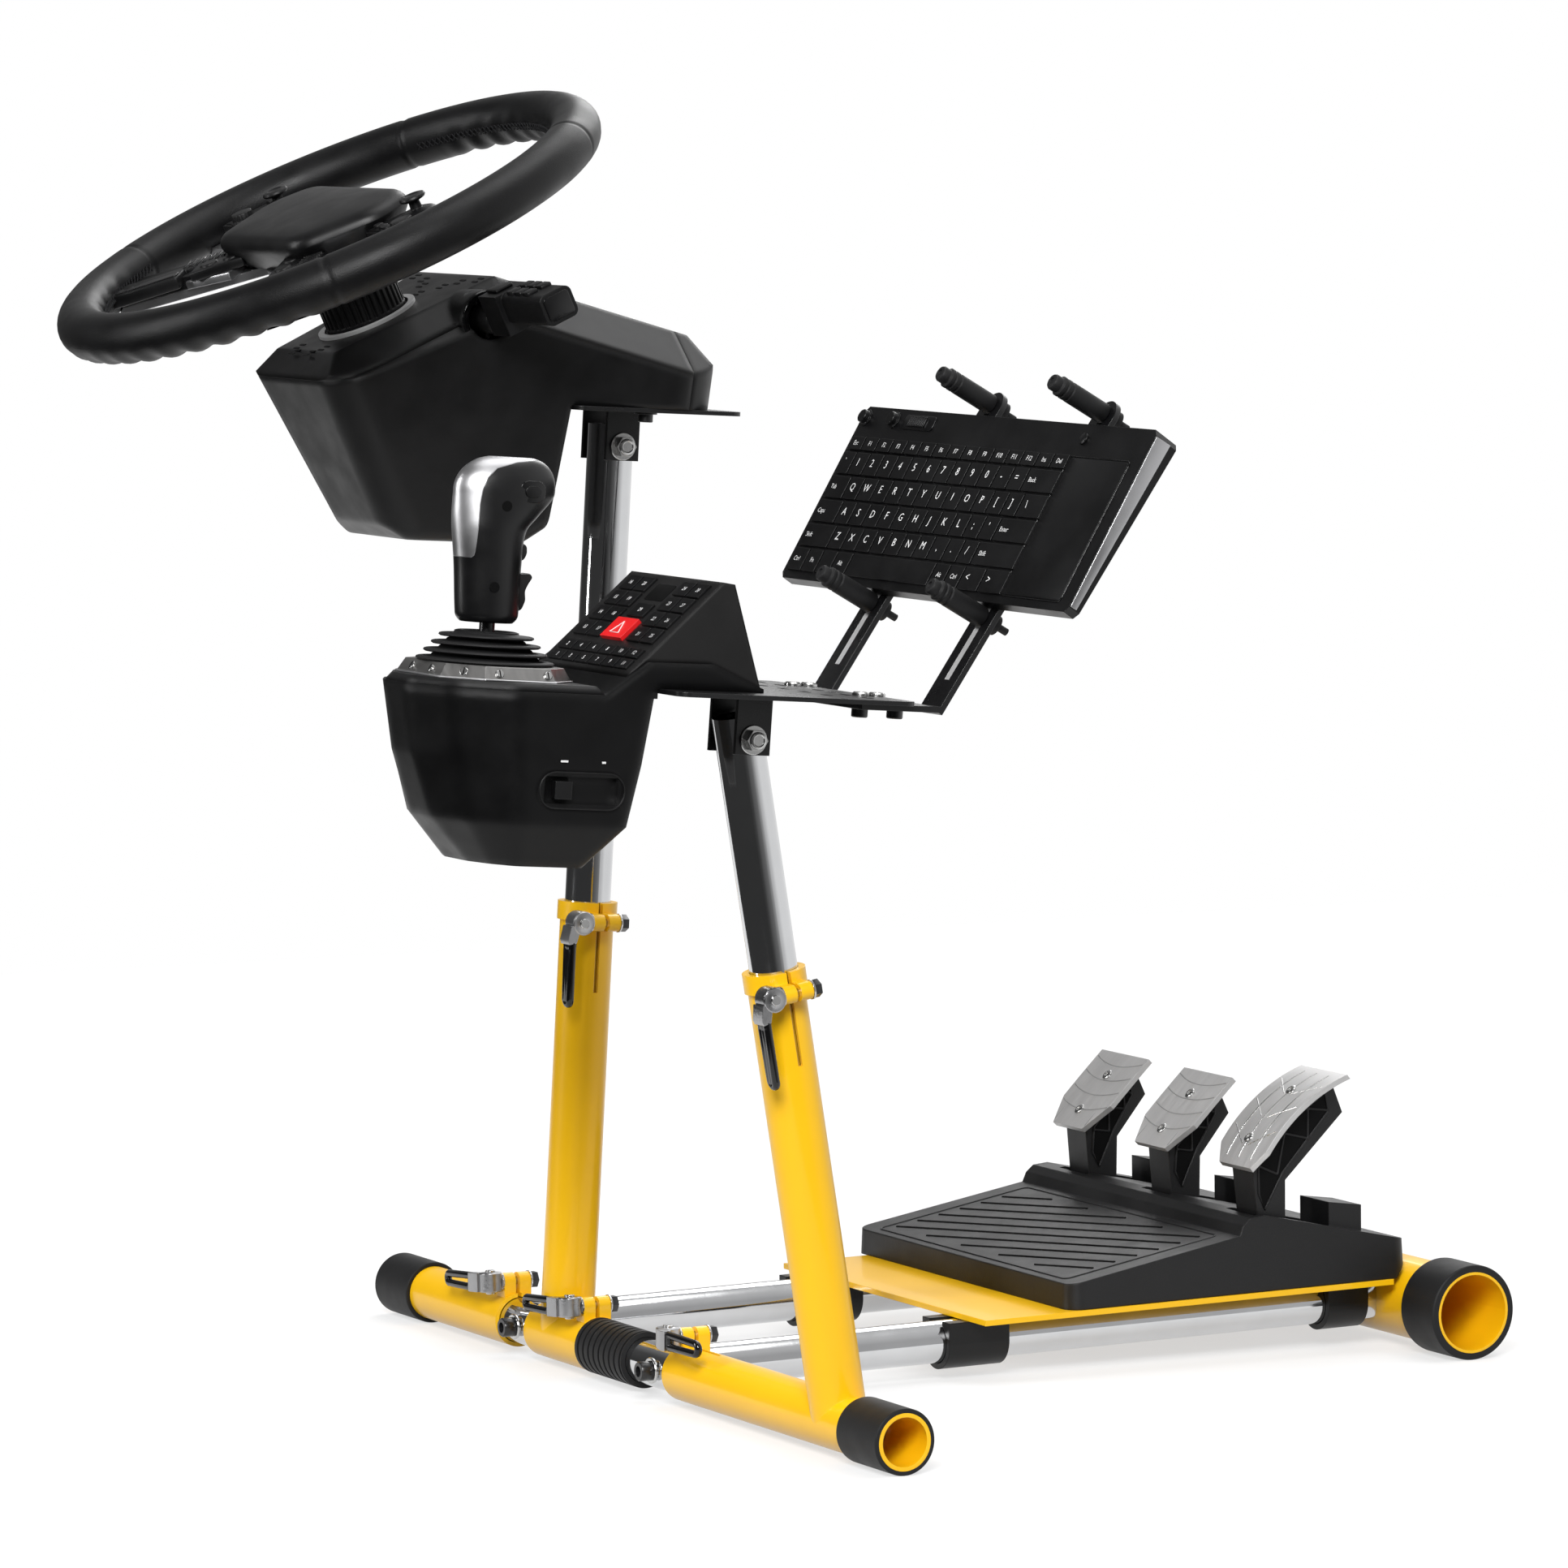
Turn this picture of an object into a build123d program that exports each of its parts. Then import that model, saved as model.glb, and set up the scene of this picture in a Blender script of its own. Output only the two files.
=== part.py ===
from build123d import *
import os
from math import asin, cos, degrees, radians, sin, sqrt, tan

# Racing wheel stand: a folding tube frame that carries a steering wheel base, a shifter box,
# a keyboard holder and a pedal unit. Millimetres, +X driver's right, +Y forward, +Z up.

# Tubes of the frame
TUBE_OUTER = 38.4
UPRIGHT_OUTER = 37.8
CHROME_OUTER = 32.0
TELESCOPE_CLEARANCE = 0.4
RAIL_OUTER = 29.8
REAR_TUBE_OUTER = 58.0
REAR_TUBE_WALL = 2.0
FRONT_CAP_OUTER = 44.4
FRONT_CAP_LENGTH = 54.0
REAR_CAP_OUTER = 68.0
REAR_CAP_LENGTH = 43.0
WELD_GAP = 0.1
SEAT_GAP = 0.3
RUNNING_CLEARANCE = 0.05

# Front cross tube, measured along X from the mast
LEFT_END = -272.0
LEFT_SLEEVE_END = -75.0
MAST_SLEEVE_START = -30.0
MAST_SLEEVE_END = 52.0
GRIP_LENGTH = 72.0
GRIP_OUTER = 39.4
GRIP_RIBS = 9
RIGHT_SLEEVE_START = 185.0
RIGHT_END = 496.0
RAIL_LEFT_X = -49.2
RAIL_RIGHT_X = 165.4
REAR_AXIS_Y = 587.6
REAR_HALF_LENGTH = 205.0

# Mast and side leg
MAST_TILT = 2.98
LEG_TILT = 9.61
LEG_X = 407.0
COLLAR_HEIGHT = 307.0
COLLAR_LENGTH = 13.0
COLLAR_OUTER = 42.0
MAST_PIVOT = 627.0
LEG_PIVOT = 462.0
MAST_POST_LENGTH = 470.0
LEG_POST_LENGTH = 340.0
POST_OVER_PIVOT = 15.0
POST_WALL = 2.0

# Quick release clamps
LUG_OUTER = 12.0
LUG_REACH = 8.0
LUG_LENGTH = 9.0
SLIT_WIDTH = 3.0
SLIT_LENGTH = 50.0
LEVER_BARREL = 8.0
LEVER_WIDTH = 13.0
LEVER_LENGTH = 58.0
LEVER_THICKNESS = 6.0
CLAMP_INSET = 9.0

# Deck brackets
DECK_THICKNESS = 3.0
EAR_THICKNESS = 3.0
EAR_WIDTH = 25.4
EAR_CLEARANCE = 0.5
EAR_BELOW_PIVOT = 10.0
PIVOT_BOLT = 8.0
BOLT_CLEARANCE = 0.35
NUT_HEIGHT = 7.0
NUT_ACROSS = 13.0

# Wheel deck and wheel base, in the deck's frame: origin on the mast axis at the deck's top face
WHEEL_DECK_OVER_PIVOT = 28.7
WHEEL_DECK_WIDTH = 186.0
WHEEL_DECK_FRONT = 56.0
WHEEL_DECK_BACK = -73.6
BASE_REAR = 40.0
BASE_NOSE = (-248.0, 8.5)
BASE_NOSE_SLOPE = 0.583
BASE_NOSE_HALF_WIDTH = 71.0
BASE_REAR_HALF_WIDTH = 101.0
BASE_DRAFT = 0.182
BASE_NOSE_ROUND = 28.0
BASE_REAR_ROUND = 36.0
BASE_TOP_REAR = (-126.0, 85.5)
BASE_TOP_FRONT_Y = -236.7
BASE_REAR_SHOULDER = (22.0, 51.2)
BASE_BOTTOM_Z = -97.5
BASE_BOTTOM_FRONT = -176.0
BASE_STEP = -74.6
BASE_LOFT_TOP = 100.0
FLAT_HALF_WIDTHS = (47.0, 62.0, 66.0)
SHOULDER_POINTS = ((76.0, -208.0, 23.5), (101.0, -10.0, 29.0))
REAR_CAP_PLANE = 12.0

# Steering wheel, in its own frame: origin at the wheel's centre, +Z towards the driver
WHEEL_CENTRE = (-223.6, 114.2)
WHEEL_TILT = 27.4
RIM_RADIUS = 182.0
RIM_TUBE = 17.5
HUB_DISC = 51.0
HUB_HALF_WIDTH = 93.0
HUB_TOP = (77.0, 33.0)
HUB_BOTTOM = (66.0, -57.0)
HUB_FACE_HALF_WIDTH = 60.0
HUB_FACE_TOP = (46.0, 24.0)
HUB_FACE_BOTTOM = (46.0, -30.0)
HUB_BACK = -11.0
HUB_RIM = 8.0
HUB_FACE = 20.0
HUB_BACK_SHRINK = 0.8
SPOKE_TOP = -11.5
SPOKE_THICKNESS = 6.0
SPOKE_WIDTH = 40.0
LOW_SPOKE_WIDTH = 34.0
LOW_SPOKE_ANGLE = 38.0
PANEL_HEIGHT = 9.0
COLUMN_OUTER = 58.0
COLUMN_FLUTES = 36
COLUMN_SINK = 8.0
STEERING_SHAFT = 16.0
STEERING_SHAFT_LENGTH = 24.0
COLLAR_RING_OUTER = 71.0
COLLAR_RING_HEIGHT = 2.4
COLUMN_GAP = 2.0
POD_CENTRE = (118.0, 10.0)
POD_SIZE = (64.0, 46.0, 14.0)

# Stalk on the right of the wheel base, in a frame that leans with the wheel
STALK_AXIS = (-141.0, 56.5)
STALK_HINGE_X = 74.0
STALK_TUBE = 20.0
STALK_HOLE = 29.0
STALK_BOSS = 39.0
STALK_BOSS_REACH = 12.0
STALK_HOLE_DEPTH = 20.0
STALK_PIN = 6.0
STALK_REACH = 188.0
STALK_HEAD_START = 103.0
STALK_HEAD_RISE = (8.0, 9.0)
STALK_HEAD_WIDTH = 25.0
STALK_HEAD_THICKNESS = 22.0

# Shifter deck and shifter box, in the deck's frame: origin at the leg's pivot bolt
SHIFTER_TILT = 4.0
SHIFTER_DECK_OVER_PIVOT = 33.1
SHIFTER_BOX_OVER_PIVOT = 26.6
SHIFTER_DECK_WIDTH = 200.0
SHIFTER_DECK_FRONT = 76.0
SHIFTER_DECK_BACK = -96.5
BOX_HALF_WIDTH = 70.0
BOX_FRONT = -250.5
BOX_BACK = -97.4
BOX_RIM = 1.0
BOX_TOP = 6.0
BOX_DEPTH = 111.0
BOX_BEVEL = 28.0
BOX_FLOOR_HALF_WIDTH = 50.0
LIP_START = -134.0
LIP_FRONT = (-104.0, 23.0)
LIP_BACK = (-58.0, 23.5)
CONSOLE_BACK = (-21.4, 9.0)
CONSOLE_TOP_BACK = (-44.4, 75.0)
CONSOLE_TOP_FRONT = (-53.0, 76.0)
CONSOLE_FRONT_Y = -118.0
CONSOLE_HALF_WIDTH = 65.0
# Blocks of keys on the sloping panel: left, right, low, high, columns, rows
CONSOLE_KEY_BLOCKS = (
    (-57.0, 57.0, 5.0, 25.0, 6, 2),
    (-57.0, -19.0, 29.0, 87.0, 2, 4),
    (19.0, 57.0, 29.0, 87.0, 2, 4),
    (-12.0, 12.0, 50.0, 64.0, 1, 1),
)
CONSOLE_KEY_GAP = 2.0
CONSOLE_KEY_HEIGHT = 1.6
TRIM_HALF_LENGTH = 47.0
TRIM_HALF_WIDTH = 54.0
TRIM_HEIGHT = 9.0
TRIM_CORNER = 22.0
LEVER_Y = -187.0
BOOT_BASE = 80.0
BOOT_TOP = 48.0
BOOT_HEIGHT = 21.0
BOOT_FOLDS = 4
GIMBAL_Z = -8.0
GIMBAL_OUTER = 44.0
GIMBAL_INNER = 32.0
GIMBAL_HEIGHT = 8.0
LEVER_BALL = 18.0
GIMBAL_PIN = 5.0
GIMBAL_PIN_SEAT = 4.0
BOX_BORE = 62.0
SHAFT_OUTER = 10.0
KNOB_BOTTOM = 41.0
SWITCH_CENTRE = (-146.0, -60.5)
SWITCH_LENGTH = 52.0
SWITCH_HEIGHT = 17.5
SWITCH_DEPTH = 7.0
SLIDER_LENGTH = 12.0
SLIDER_INSET = 0.4

# Keyboard holder and keyboard, in the holder's frame on the shifter deck
HOLDER_Y = 99.0
HOLDER_LEAN = 30.5
HOLDER_THICKNESS = 4.0
HOLDER_DEPTH = 58.0
ARM_SPACING = 150.0
ARM_WIDTH = 26.0
ARM_LENGTH = 236.5
ARM_SLOT = 6.0
PEG_LOW = 67.5
PEG_HIGH = 226.0
PEG_LENGTH = 46.0
PEG_OUTER = 14.0
PEG_DROOP = 5.0
KEYBOARD_LEFT = -202.0
KEYBOARD_RIGHT = 188.5
KEYBOARD_HEIGHT = 133.0
KEYBOARD_EDGE = 8.5
KEYBOARD_WEDGE = 4.2
KEY_PITCH = 19.8
KEY_ROW = 18.6
KEY_TOP_ROW = 12.0
KEY_HEIGHT = 2.2
KEY_GAP = 2.2
KEY_MARGIN = 5.0

# Pedal deck on the rails, in the rails' frame, and the pedal unit on the deck's top face
PLATE_WIDTH = 300.0
PLATE_FRONT = 222.0
PLATE_BACK = 556.0
PLATE_THICKNESS = 4.0
PLATE_LIFT = 0.5
CLIP_WALL = 4.0
CLIP_CLEARANCE = 0.4
CLIP_OPENING = 18.0
CLIP_FRONT = (206.0, 254.0)
CLIP_BACK = (516.0, 549.0)
PEDAL_LEFT = -168.0
PEDAL_RIGHT = 148.0
PEDAL_FRONT = 291.0
PEDAL_BACK = 571.0
PEDAL_FRONT_HEIGHT = 18.0
PEDAL_STEP_LOW = (431.0, 41.0)
PEDAL_STEP_HIGH = (440.0, 53.0)
PEDAL_BACK_HEIGHT = 27.0
PEDAL_CORNER = 12.0
PEDAL_DRAFT = 3.0
REAR_TUBE_CLEARANCE = 5.2
PEDAL_SPACING = 119.0
PEDAL_AXIS = (468.0, 26.0)
PEDAL_HUB = 24.0
PEDAL_PIN = 8.0
PEDAL_PIN_SEAT = 4.0
PEDAL_ARM_WIDTH = 28.0
PEDAL_SLOT_SIDE = 5.5
PEDAL_SLOT_START = 447.0
PEDAL_SLOT_END = 509.0
PEDAL_SLOT_FLOOR = 6.0
PEDAL_BUMP_HEIGHT = 58.0
PEDAL_BUMP_END = 536.0
PAD_THICKNESS = 4.0
PAD_WIDTH = 68.0
PAD_CHAMFER = (13.0, 24.0)
THROTTLE_CHAMFER = (10.0, 14.0)
PAD_LOW = (443.0, 87.6)
PAD_HIGH = (493.0, 136.6)
THROTTLE_WIDTH = 62.0
THROTTLE_HIGH = (518.0, 150.0)
THROTTLE_BOW = 9.0

# Values worked out from the sizes above
FRONT_AXIS_Z = FRONT_CAP_OUTER / 2
REAR_AXIS_Z = REAR_CAP_OUTER / 2
TUBE_INNER = CHROME_OUTER + 2 * TELESCOPE_CLEARANCE
RAIL_SLOPE = degrees(asin((REAR_AXIS_Z - FRONT_AXIS_Z) / REAR_AXIS_Y))
RAIL_CENTRE_X = (RAIL_LEFT_X + RAIL_RIGHT_X) / 2
EAR_INNER = CHROME_OUTER / 2 + EAR_CLEARANCE


def wheel_reach():
    """How far the rim reaches towards the driver, from the front cross tube's axis."""
    y, z = WHEEL_CENTRE
    z += MAST_PIVOT + WHEEL_DECK_OVER_PIVOT
    tilt = radians(MAST_TILT)
    centre = y * cos(tilt) + z * sin(tilt)
    return centre - RIM_RADIUS * cos(radians(WHEEL_TILT - MAST_TILT)) - RIM_TUBE


# The origin lies on the floor at the middle of the whole stand
MAST_X = -(LEFT_END + LEG_X + KEYBOARD_RIGHT) / 2
FRONT_Y = -(wheel_reach() + REAR_AXIS_Y + REAR_CAP_OUTER / 2) / 2


def local(plane, x=0.0, y=0.0, z=0.0, turn=(0.0, 0.0, 0.0)):
    """A plane placed by an offset and a turn inside another plane."""
    return Plane(plane.location * Location((x, y, z), turn))


def side(plane, x=0.0):
    """The plane at x whose sketch axes are the local Y and Z."""
    return Plane(plane.location * Location((x, 0, 0)) * Plane.YZ.location)


def leaning(x, tilt):
    """Frame of an upright tube that leans forward by tilt degrees over the front cross tube."""
    return Plane((x, FRONT_Y, FRONT_AXIS_Z), (1, 0, 0), (0, sin(radians(tilt)), cos(radians(tilt))))


FRONT = Plane((MAST_X, FRONT_Y, FRONT_AXIS_Z))
MAST = leaning(MAST_X, MAST_TILT)
LEG = leaning(MAST_X + LEG_X, -LEG_TILT)
WHEEL_DECK = local(MAST, z=MAST_PIVOT + WHEEL_DECK_OVER_PIVOT)
WHEEL = local(WHEEL_DECK, y=WHEEL_CENTRE[0], z=WHEEL_CENTRE[1], turn=(WHEEL_TILT, 0, 0))
SHIFTER = local(local(LEG, z=LEG_PIVOT), turn=(-LEG_TILT - SHIFTER_TILT, 0, 0))
SHIFTER_TOP = local(SHIFTER, z=SHIFTER_BOX_OVER_PIVOT)
DECK_RISE = SHIFTER_DECK_OVER_PIVOT - SHIFTER_BOX_OVER_PIVOT
HOLDER = local(SHIFTER_TOP, y=HOLDER_Y, z=DECK_RISE - DECK_THICKNESS, turn=(-HOLDER_LEAN, 0, 0))
RAILS = Plane((MAST_X + RAIL_CENTRE_X, FRONT_Y, FRONT_AXIS_Z), (1, 0, 0),
              (0, -sin(radians(RAIL_SLOPE)), cos(radians(RAIL_SLOPE))))
PLATE_TOP = RAIL_OUTER / 2 + PLATE_LIFT + PLATE_THICKNESS
PEDALS = local(RAILS, z=PLATE_TOP)
REAR = Plane((MAST_X + RAIL_CENTRE_X, FRONT_Y + REAR_AXIS_Y, REAR_AXIS_Z))


def save(builder, name):
    """Label a finished piece and write it."""
    builder.part.label = name
    export_step(builder.part, f"parts/{name}.step")


def bar_x(plane, x0, x1, outer, mode=Mode.ADD):
    """A round bar along the plane's X, joined to or taken from the part being built."""
    with BuildSketch(side(plane, x0)) as ring:
        Circle(outer / 2)
    extrude(ring.sketch, amount=x1 - x0, mode=mode)


def cut_x(plane, x0, x1, outer):
    """A round bore along the plane's X, taken from the part being built."""
    bar_x(plane, x0, x1, outer, Mode.SUBTRACT)


def rod(plane, z0, z1, outer, mode=Mode.ADD):
    """A round bar along the plane's Z, joined to or taken from the part being built."""
    with BuildSketch(plane.offset(z0)) as ring:
        Circle(outer / 2)
    extrude(ring.sketch, amount=z1 - z0, mode=mode)


def block(plane, centre, size, mode=Mode.ADD):
    """A box given by its centre and size in the plane, joined to or taken from the part."""
    x, y, z = centre
    with BuildSketch(local(plane, x, y, z - size[2] / 2)) as base:
        Rectangle(size[0], size[1])
    extrude(base.sketch, amount=size[2], mode=mode)


def profile(plane, points, x0, x1, mode=Mode.ADD):
    """A side outline in the plane's Y and Z, drawn out from x0 to x1."""
    with BuildSketch(side(plane, x0)) as outline:
        with BuildLine():
            Polyline(*points, close=True)
        make_face()
    extrude(outline.sketch, amount=x1 - x0, mode=mode)


def lugs(clamp):
    """Two clamp lugs. The clamp's +Z points out of the tube, its X runs along the tube
    and its Y along the clamp screw."""
    height = TUBE_OUTER / 2 + LUG_REACH
    for sign in (-1, 1):
        lug = local(clamp, y=sign * SLIT_WIDTH / 2, z=height, turn=(-90 * sign, 0, 0))
        rod(lug, 0, LUG_LENGTH, LUG_OUTER)
        block(clamp, (0, sign * (SLIT_WIDTH + LUG_LENGTH) / 2, height - LUG_REACH),
              (LUG_OUTER, LUG_LENGTH, 2 * LUG_REACH))


def slit(clamp, start, end):
    """The slit that lets a clamp close."""
    block(clamp, ((start + end) / 2, 0, TUBE_OUTER * 0.8), (abs(end - start), SLIT_WIDTH, TUBE_OUTER),
          Mode.SUBTRACT)


os.makedirs("parts", exist_ok=True)

# Front cross tube of chromed steel
with BuildPart() as front_cross_tube:
    bar_x(FRONT, LEFT_END + FRONT_CAP_LENGTH, RIGHT_END - FRONT_CAP_LENGTH, CHROME_OUTER)
    cut_x(FRONT, LEFT_END, RIGHT_END, CHROME_OUTER - 2 * POST_WALL)
save(front_cross_tube, "front_cross_tube")

# Rails from the front cross tube to the rear tube
for name, x in (("rail_left", RAIL_LEFT_X), ("rail_right", RAIL_RIGHT_X)):
    with BuildPart() as rail:
        rail_axis = local(RAILS, x=x - RAIL_CENTRE_X, turn=(-90, 0, 0))
        rod(rail_axis, 0, REAR_AXIS_Y, RAIL_OUTER)
        rod(rail_axis, 0, REAR_AXIS_Y, RAIL_OUTER - 2 * POST_WALL, Mode.SUBTRACT)
        cut_x(FRONT, LEFT_END, RIGHT_END, CHROME_OUTER + 2 * WELD_GAP)
        cut_x(REAR, -REAR_HALF_LENGTH, REAR_HALF_LENGTH, REAR_TUBE_OUTER + 2 * WELD_GAP)
    save(rail, name)

# Rear tube, open at both ends
with BuildPart() as rear_tube:
    bar_x(REAR, -REAR_HALF_LENGTH, REAR_HALF_LENGTH, REAR_TUBE_OUTER)
    cut_x(REAR, -REAR_HALF_LENGTH, REAR_HALF_LENGTH, REAR_TUBE_OUTER - 2 * REAR_TUBE_WALL)
save(rear_tube, "rear_tube")


def rubber_cap(plane, x0, x1, outer, inner):
    """A rubber ring over a tube's end with rounded rims."""
    with BuildPart() as cap:
        bar_x(plane, x0, x1, outer)
        rims = cap.edges().filter_by(GeomType.CIRCLE)
        fillet(rims, (outer - inner) / 6)
        cut_x(plane, x0, x1, inner)
    return cap


REAR_CAP_INNER = REAR_TUBE_OUTER + 2 * WELD_GAP
REAR_CAP_STARTS = {"rear_cap_left": -REAR_HALF_LENGTH, "rear_cap_right": REAR_HALF_LENGTH - REAR_CAP_LENGTH}
for name, x0 in REAR_CAP_STARTS.items():
    save(rubber_cap(REAR, x0, x0 + REAR_CAP_LENGTH, REAR_CAP_OUTER, REAR_CAP_INNER), name)

# Ribbed rubber grip on the front cross tube
with BuildPart() as grip:
    bar_x(FRONT, MAST_SLEEVE_END + SEAT_GAP, MAST_SLEEVE_END + GRIP_LENGTH, GRIP_OUTER)
    rib_pitch = GRIP_LENGTH / GRIP_RIBS
    for i in range(GRIP_RIBS):
        groove = side(FRONT, MAST_SLEEVE_END + (i + 0.5) * rib_pitch)
        with BuildSketch(groove):
            Circle(GRIP_OUTER)
            Circle(GRIP_OUTER / 2 - rib_pitch / 5, mode=Mode.SUBTRACT)
        extrude(amount=rib_pitch / 3, mode=Mode.SUBTRACT)
    cut_x(FRONT, MAST_SLEEVE_END, MAST_SLEEVE_END + GRIP_LENGTH, CHROME_OUTER + 2 * WELD_GAP)
save(grip, "grip_sleeve")

# Clamp places: X along the tube, Z out of the tube
LEFT_CLAMP = local(FRONT, x=LEFT_SLEEVE_END - CLAMP_INSET)
MAST_FOOT_CLAMP = local(FRONT, x=MAST_SLEEVE_END - CLAMP_INSET)
LEG_FOOT_CLAMP = local(FRONT, x=RIGHT_SLEEVE_START + CLAMP_INSET)
MAST_CLAMP = local(MAST, z=COLLAR_HEIGHT - COLLAR_LENGTH, turn=(0, 90, 0))
LEG_CLAMP = local(LEG, z=COLLAR_HEIGHT - COLLAR_LENGTH, turn=(0, 90, 0))

# Left foot: a sleeve that slides on the front cross tube
with BuildPart() as left_foot:
    bar_x(FRONT, LEFT_END, LEFT_SLEEVE_END, TUBE_OUTER)
    lugs(LEFT_CLAMP)
    cut_x(FRONT, LEFT_END, LEFT_SLEEVE_END, TUBE_INNER)
    slit(LEFT_CLAMP, CLAMP_INSET, CLAMP_INSET - SLIT_LENGTH)
save(left_foot, "left_foot_sleeve")

FRONT_CAP_INNER = TUBE_OUTER + 2 * WELD_GAP
left_cap = rubber_cap(FRONT, LEFT_END, LEFT_END + FRONT_CAP_LENGTH, FRONT_CAP_OUTER, FRONT_CAP_INNER)
save(left_cap, "left_foot_cap")
right_cap = rubber_cap(FRONT, RIGHT_END - FRONT_CAP_LENGTH, RIGHT_END, FRONT_CAP_OUTER, FRONT_CAP_INNER)


def upright(plane, sleeve_start, sleeve_end, foot_clamp, foot_slit, clamp):
    """A yellow upright: sleeve on the cross tube, tube, collar and both clamps."""
    with BuildPart() as piece:
        bar_x(FRONT, sleeve_start, sleeve_end, TUBE_OUTER)
        rod(plane, 0, COLLAR_HEIGHT, UPRIGHT_OUTER)
        rod(plane, COLLAR_HEIGHT - COLLAR_LENGTH, COLLAR_HEIGHT, COLLAR_OUTER)
        lugs(foot_clamp)
        lugs(clamp)
        cut_x(FRONT, sleeve_start, sleeve_end, TUBE_INNER)
        rod(plane, TUBE_OUTER / 2 + POST_WALL, COLLAR_HEIGHT, TUBE_INNER, Mode.SUBTRACT)
        slit(foot_clamp, *foot_slit)
        slit(clamp, -COLLAR_LENGTH, SLIT_LENGTH)
    return piece


mast_tube = upright(MAST, MAST_SLEEVE_START, MAST_SLEEVE_END, MAST_FOOT_CLAMP,
                    (CLAMP_INSET, CLAMP_INSET - SLIT_LENGTH / 2), MAST_CLAMP)
save(mast_tube, "mast_tube")
leg_tube = upright(LEG, RIGHT_SLEEVE_START, RIGHT_END, LEG_FOOT_CLAMP,
                   (-CLAMP_INSET, SLIT_LENGTH - CLAMP_INSET), LEG_CLAMP)
save(leg_tube, "side_leg_tube")
with BuildPart() as leg_cap:
    add(right_cap.part)
    rod(LEG, 0, COLLAR_HEIGHT, TUBE_OUTER + 2 * SEAT_GAP, Mode.SUBTRACT)
save(leg_cap, "side_leg_cap")


def post(plane, pivot, length):
    """A chromed post with the cross hole for its bracket's bolt."""
    with BuildPart() as piece:
        rod(plane, pivot + POST_OVER_PIVOT - length, pivot + POST_OVER_PIVOT, CHROME_OUTER)
        rod(plane, pivot + POST_OVER_PIVOT - length, pivot + POST_OVER_PIVOT,
            CHROME_OUTER - 2 * POST_WALL, Mode.SUBTRACT)
        cut_x(local(plane, z=pivot), -CHROME_OUTER, CHROME_OUTER, PIVOT_BOLT + 2 * BOLT_CLEARANCE)
    return piece


save(post(MAST, MAST_PIVOT, MAST_POST_LENGTH), "mast_post")
save(post(LEG, LEG_PIVOT, LEG_POST_LENGTH), "side_leg_post")


def deck(pivot_plane, over_pivot, width, back, front, corner):
    """A steel deck plate with the two ears of its tilt bracket underneath."""
    with BuildPart() as piece:
        with BuildSketch(local(pivot_plane, z=over_pivot - DECK_THICKNESS)):
            with Locations((0, (back + front) / 2)):
                RectangleRounded(width, front - back, corner)
        extrude(amount=DECK_THICKNESS)
        for x in (-EAR_INNER - EAR_THICKNESS, EAR_INNER):
            with BuildSketch(side(pivot_plane, x)):
                with Locations((0, (over_pivot - DECK_THICKNESS - EAR_BELOW_PIVOT) / 2)):
                    Rectangle(EAR_WIDTH, over_pivot - DECK_THICKNESS + EAR_BELOW_PIVOT)
            extrude(amount=EAR_THICKNESS)
        cut_x(pivot_plane, -width / 2, width / 2, PIVOT_BOLT + 2 * WELD_GAP)
    return piece


def pivot_bolt(pivot_plane):
    """The bracket's bolt with a hex head and a nut."""
    reach = EAR_INNER + EAR_THICKNESS
    with BuildPart() as piece:
        bar_x(pivot_plane, -reach, reach, PIVOT_BOLT)
        for x in (-reach - NUT_HEIGHT, reach):
            with BuildSketch(side(pivot_plane, x)):
                RegularPolygon(NUT_ACROSS / 2, 6, major_radius=False)
            extrude(amount=NUT_HEIGHT)
    return piece


MAST_BRACKET = local(MAST, z=MAST_PIVOT)
wheel_deck = deck(MAST_BRACKET, WHEEL_DECK_OVER_PIVOT, WHEEL_DECK_WIDTH, WHEEL_DECK_BACK,
                  WHEEL_DECK_FRONT, 8.0)
save(wheel_deck, "wheel_deck")
save(pivot_bolt(MAST_BRACKET), "wheel_deck_bolt")
shifter_deck = deck(SHIFTER, SHIFTER_DECK_OVER_PIVOT, SHIFTER_DECK_WIDTH, SHIFTER_DECK_BACK,
                    SHIFTER_DECK_FRONT, 8.0)
save(shifter_deck, "shifter_deck")
save(pivot_bolt(SHIFTER), "shifter_deck_bolt")


def cam_lever(plane):
    """A clamp's cam lever. Its pin is the plane's Z, the screw its Y and the handle its X."""
    with BuildPart() as piece:
        rod(plane, -LEVER_WIDTH / 2, LEVER_WIDTH / 2, 2 * LEVER_BARREL)
        with BuildSketch(local(plane, z=-LEVER_WIDTH / 2)):
            with BuildLine():
                outer = [(0, -LEVER_BARREL), (LEVER_LENGTH * 0.18, -LEVER_BARREL - 2.0),
                         (LEVER_LENGTH * 0.5, -LEVER_BARREL - 3.0), (LEVER_LENGTH, -LEVER_BARREL - 1.0)]
                inner = [(x, y + LEVER_THICKNESS) for x, y in reversed(outer)]
                Polyline(*outer, *inner, close=True)
            make_face()
        extrude(amount=LEVER_WIDTH)
        with BuildSketch(Plane(plane.location * Plane.XZ.location).offset(-LEVER_LENGTH)):
            with Locations((LEVER_LENGTH * 0.6, 0)):
                SlotOverall(LEVER_LENGTH * 0.62, LEVER_WIDTH * 0.45)
        extrude(amount=2 * LEVER_LENGTH, mode=Mode.SUBTRACT)
    return piece


# A lever's pin lies outside the clamp's lug, towards the driver
LEVER_OUT = SLIT_WIDTH / 2 + LUG_LENGTH + SEAT_GAP + LEVER_BARREL


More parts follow.
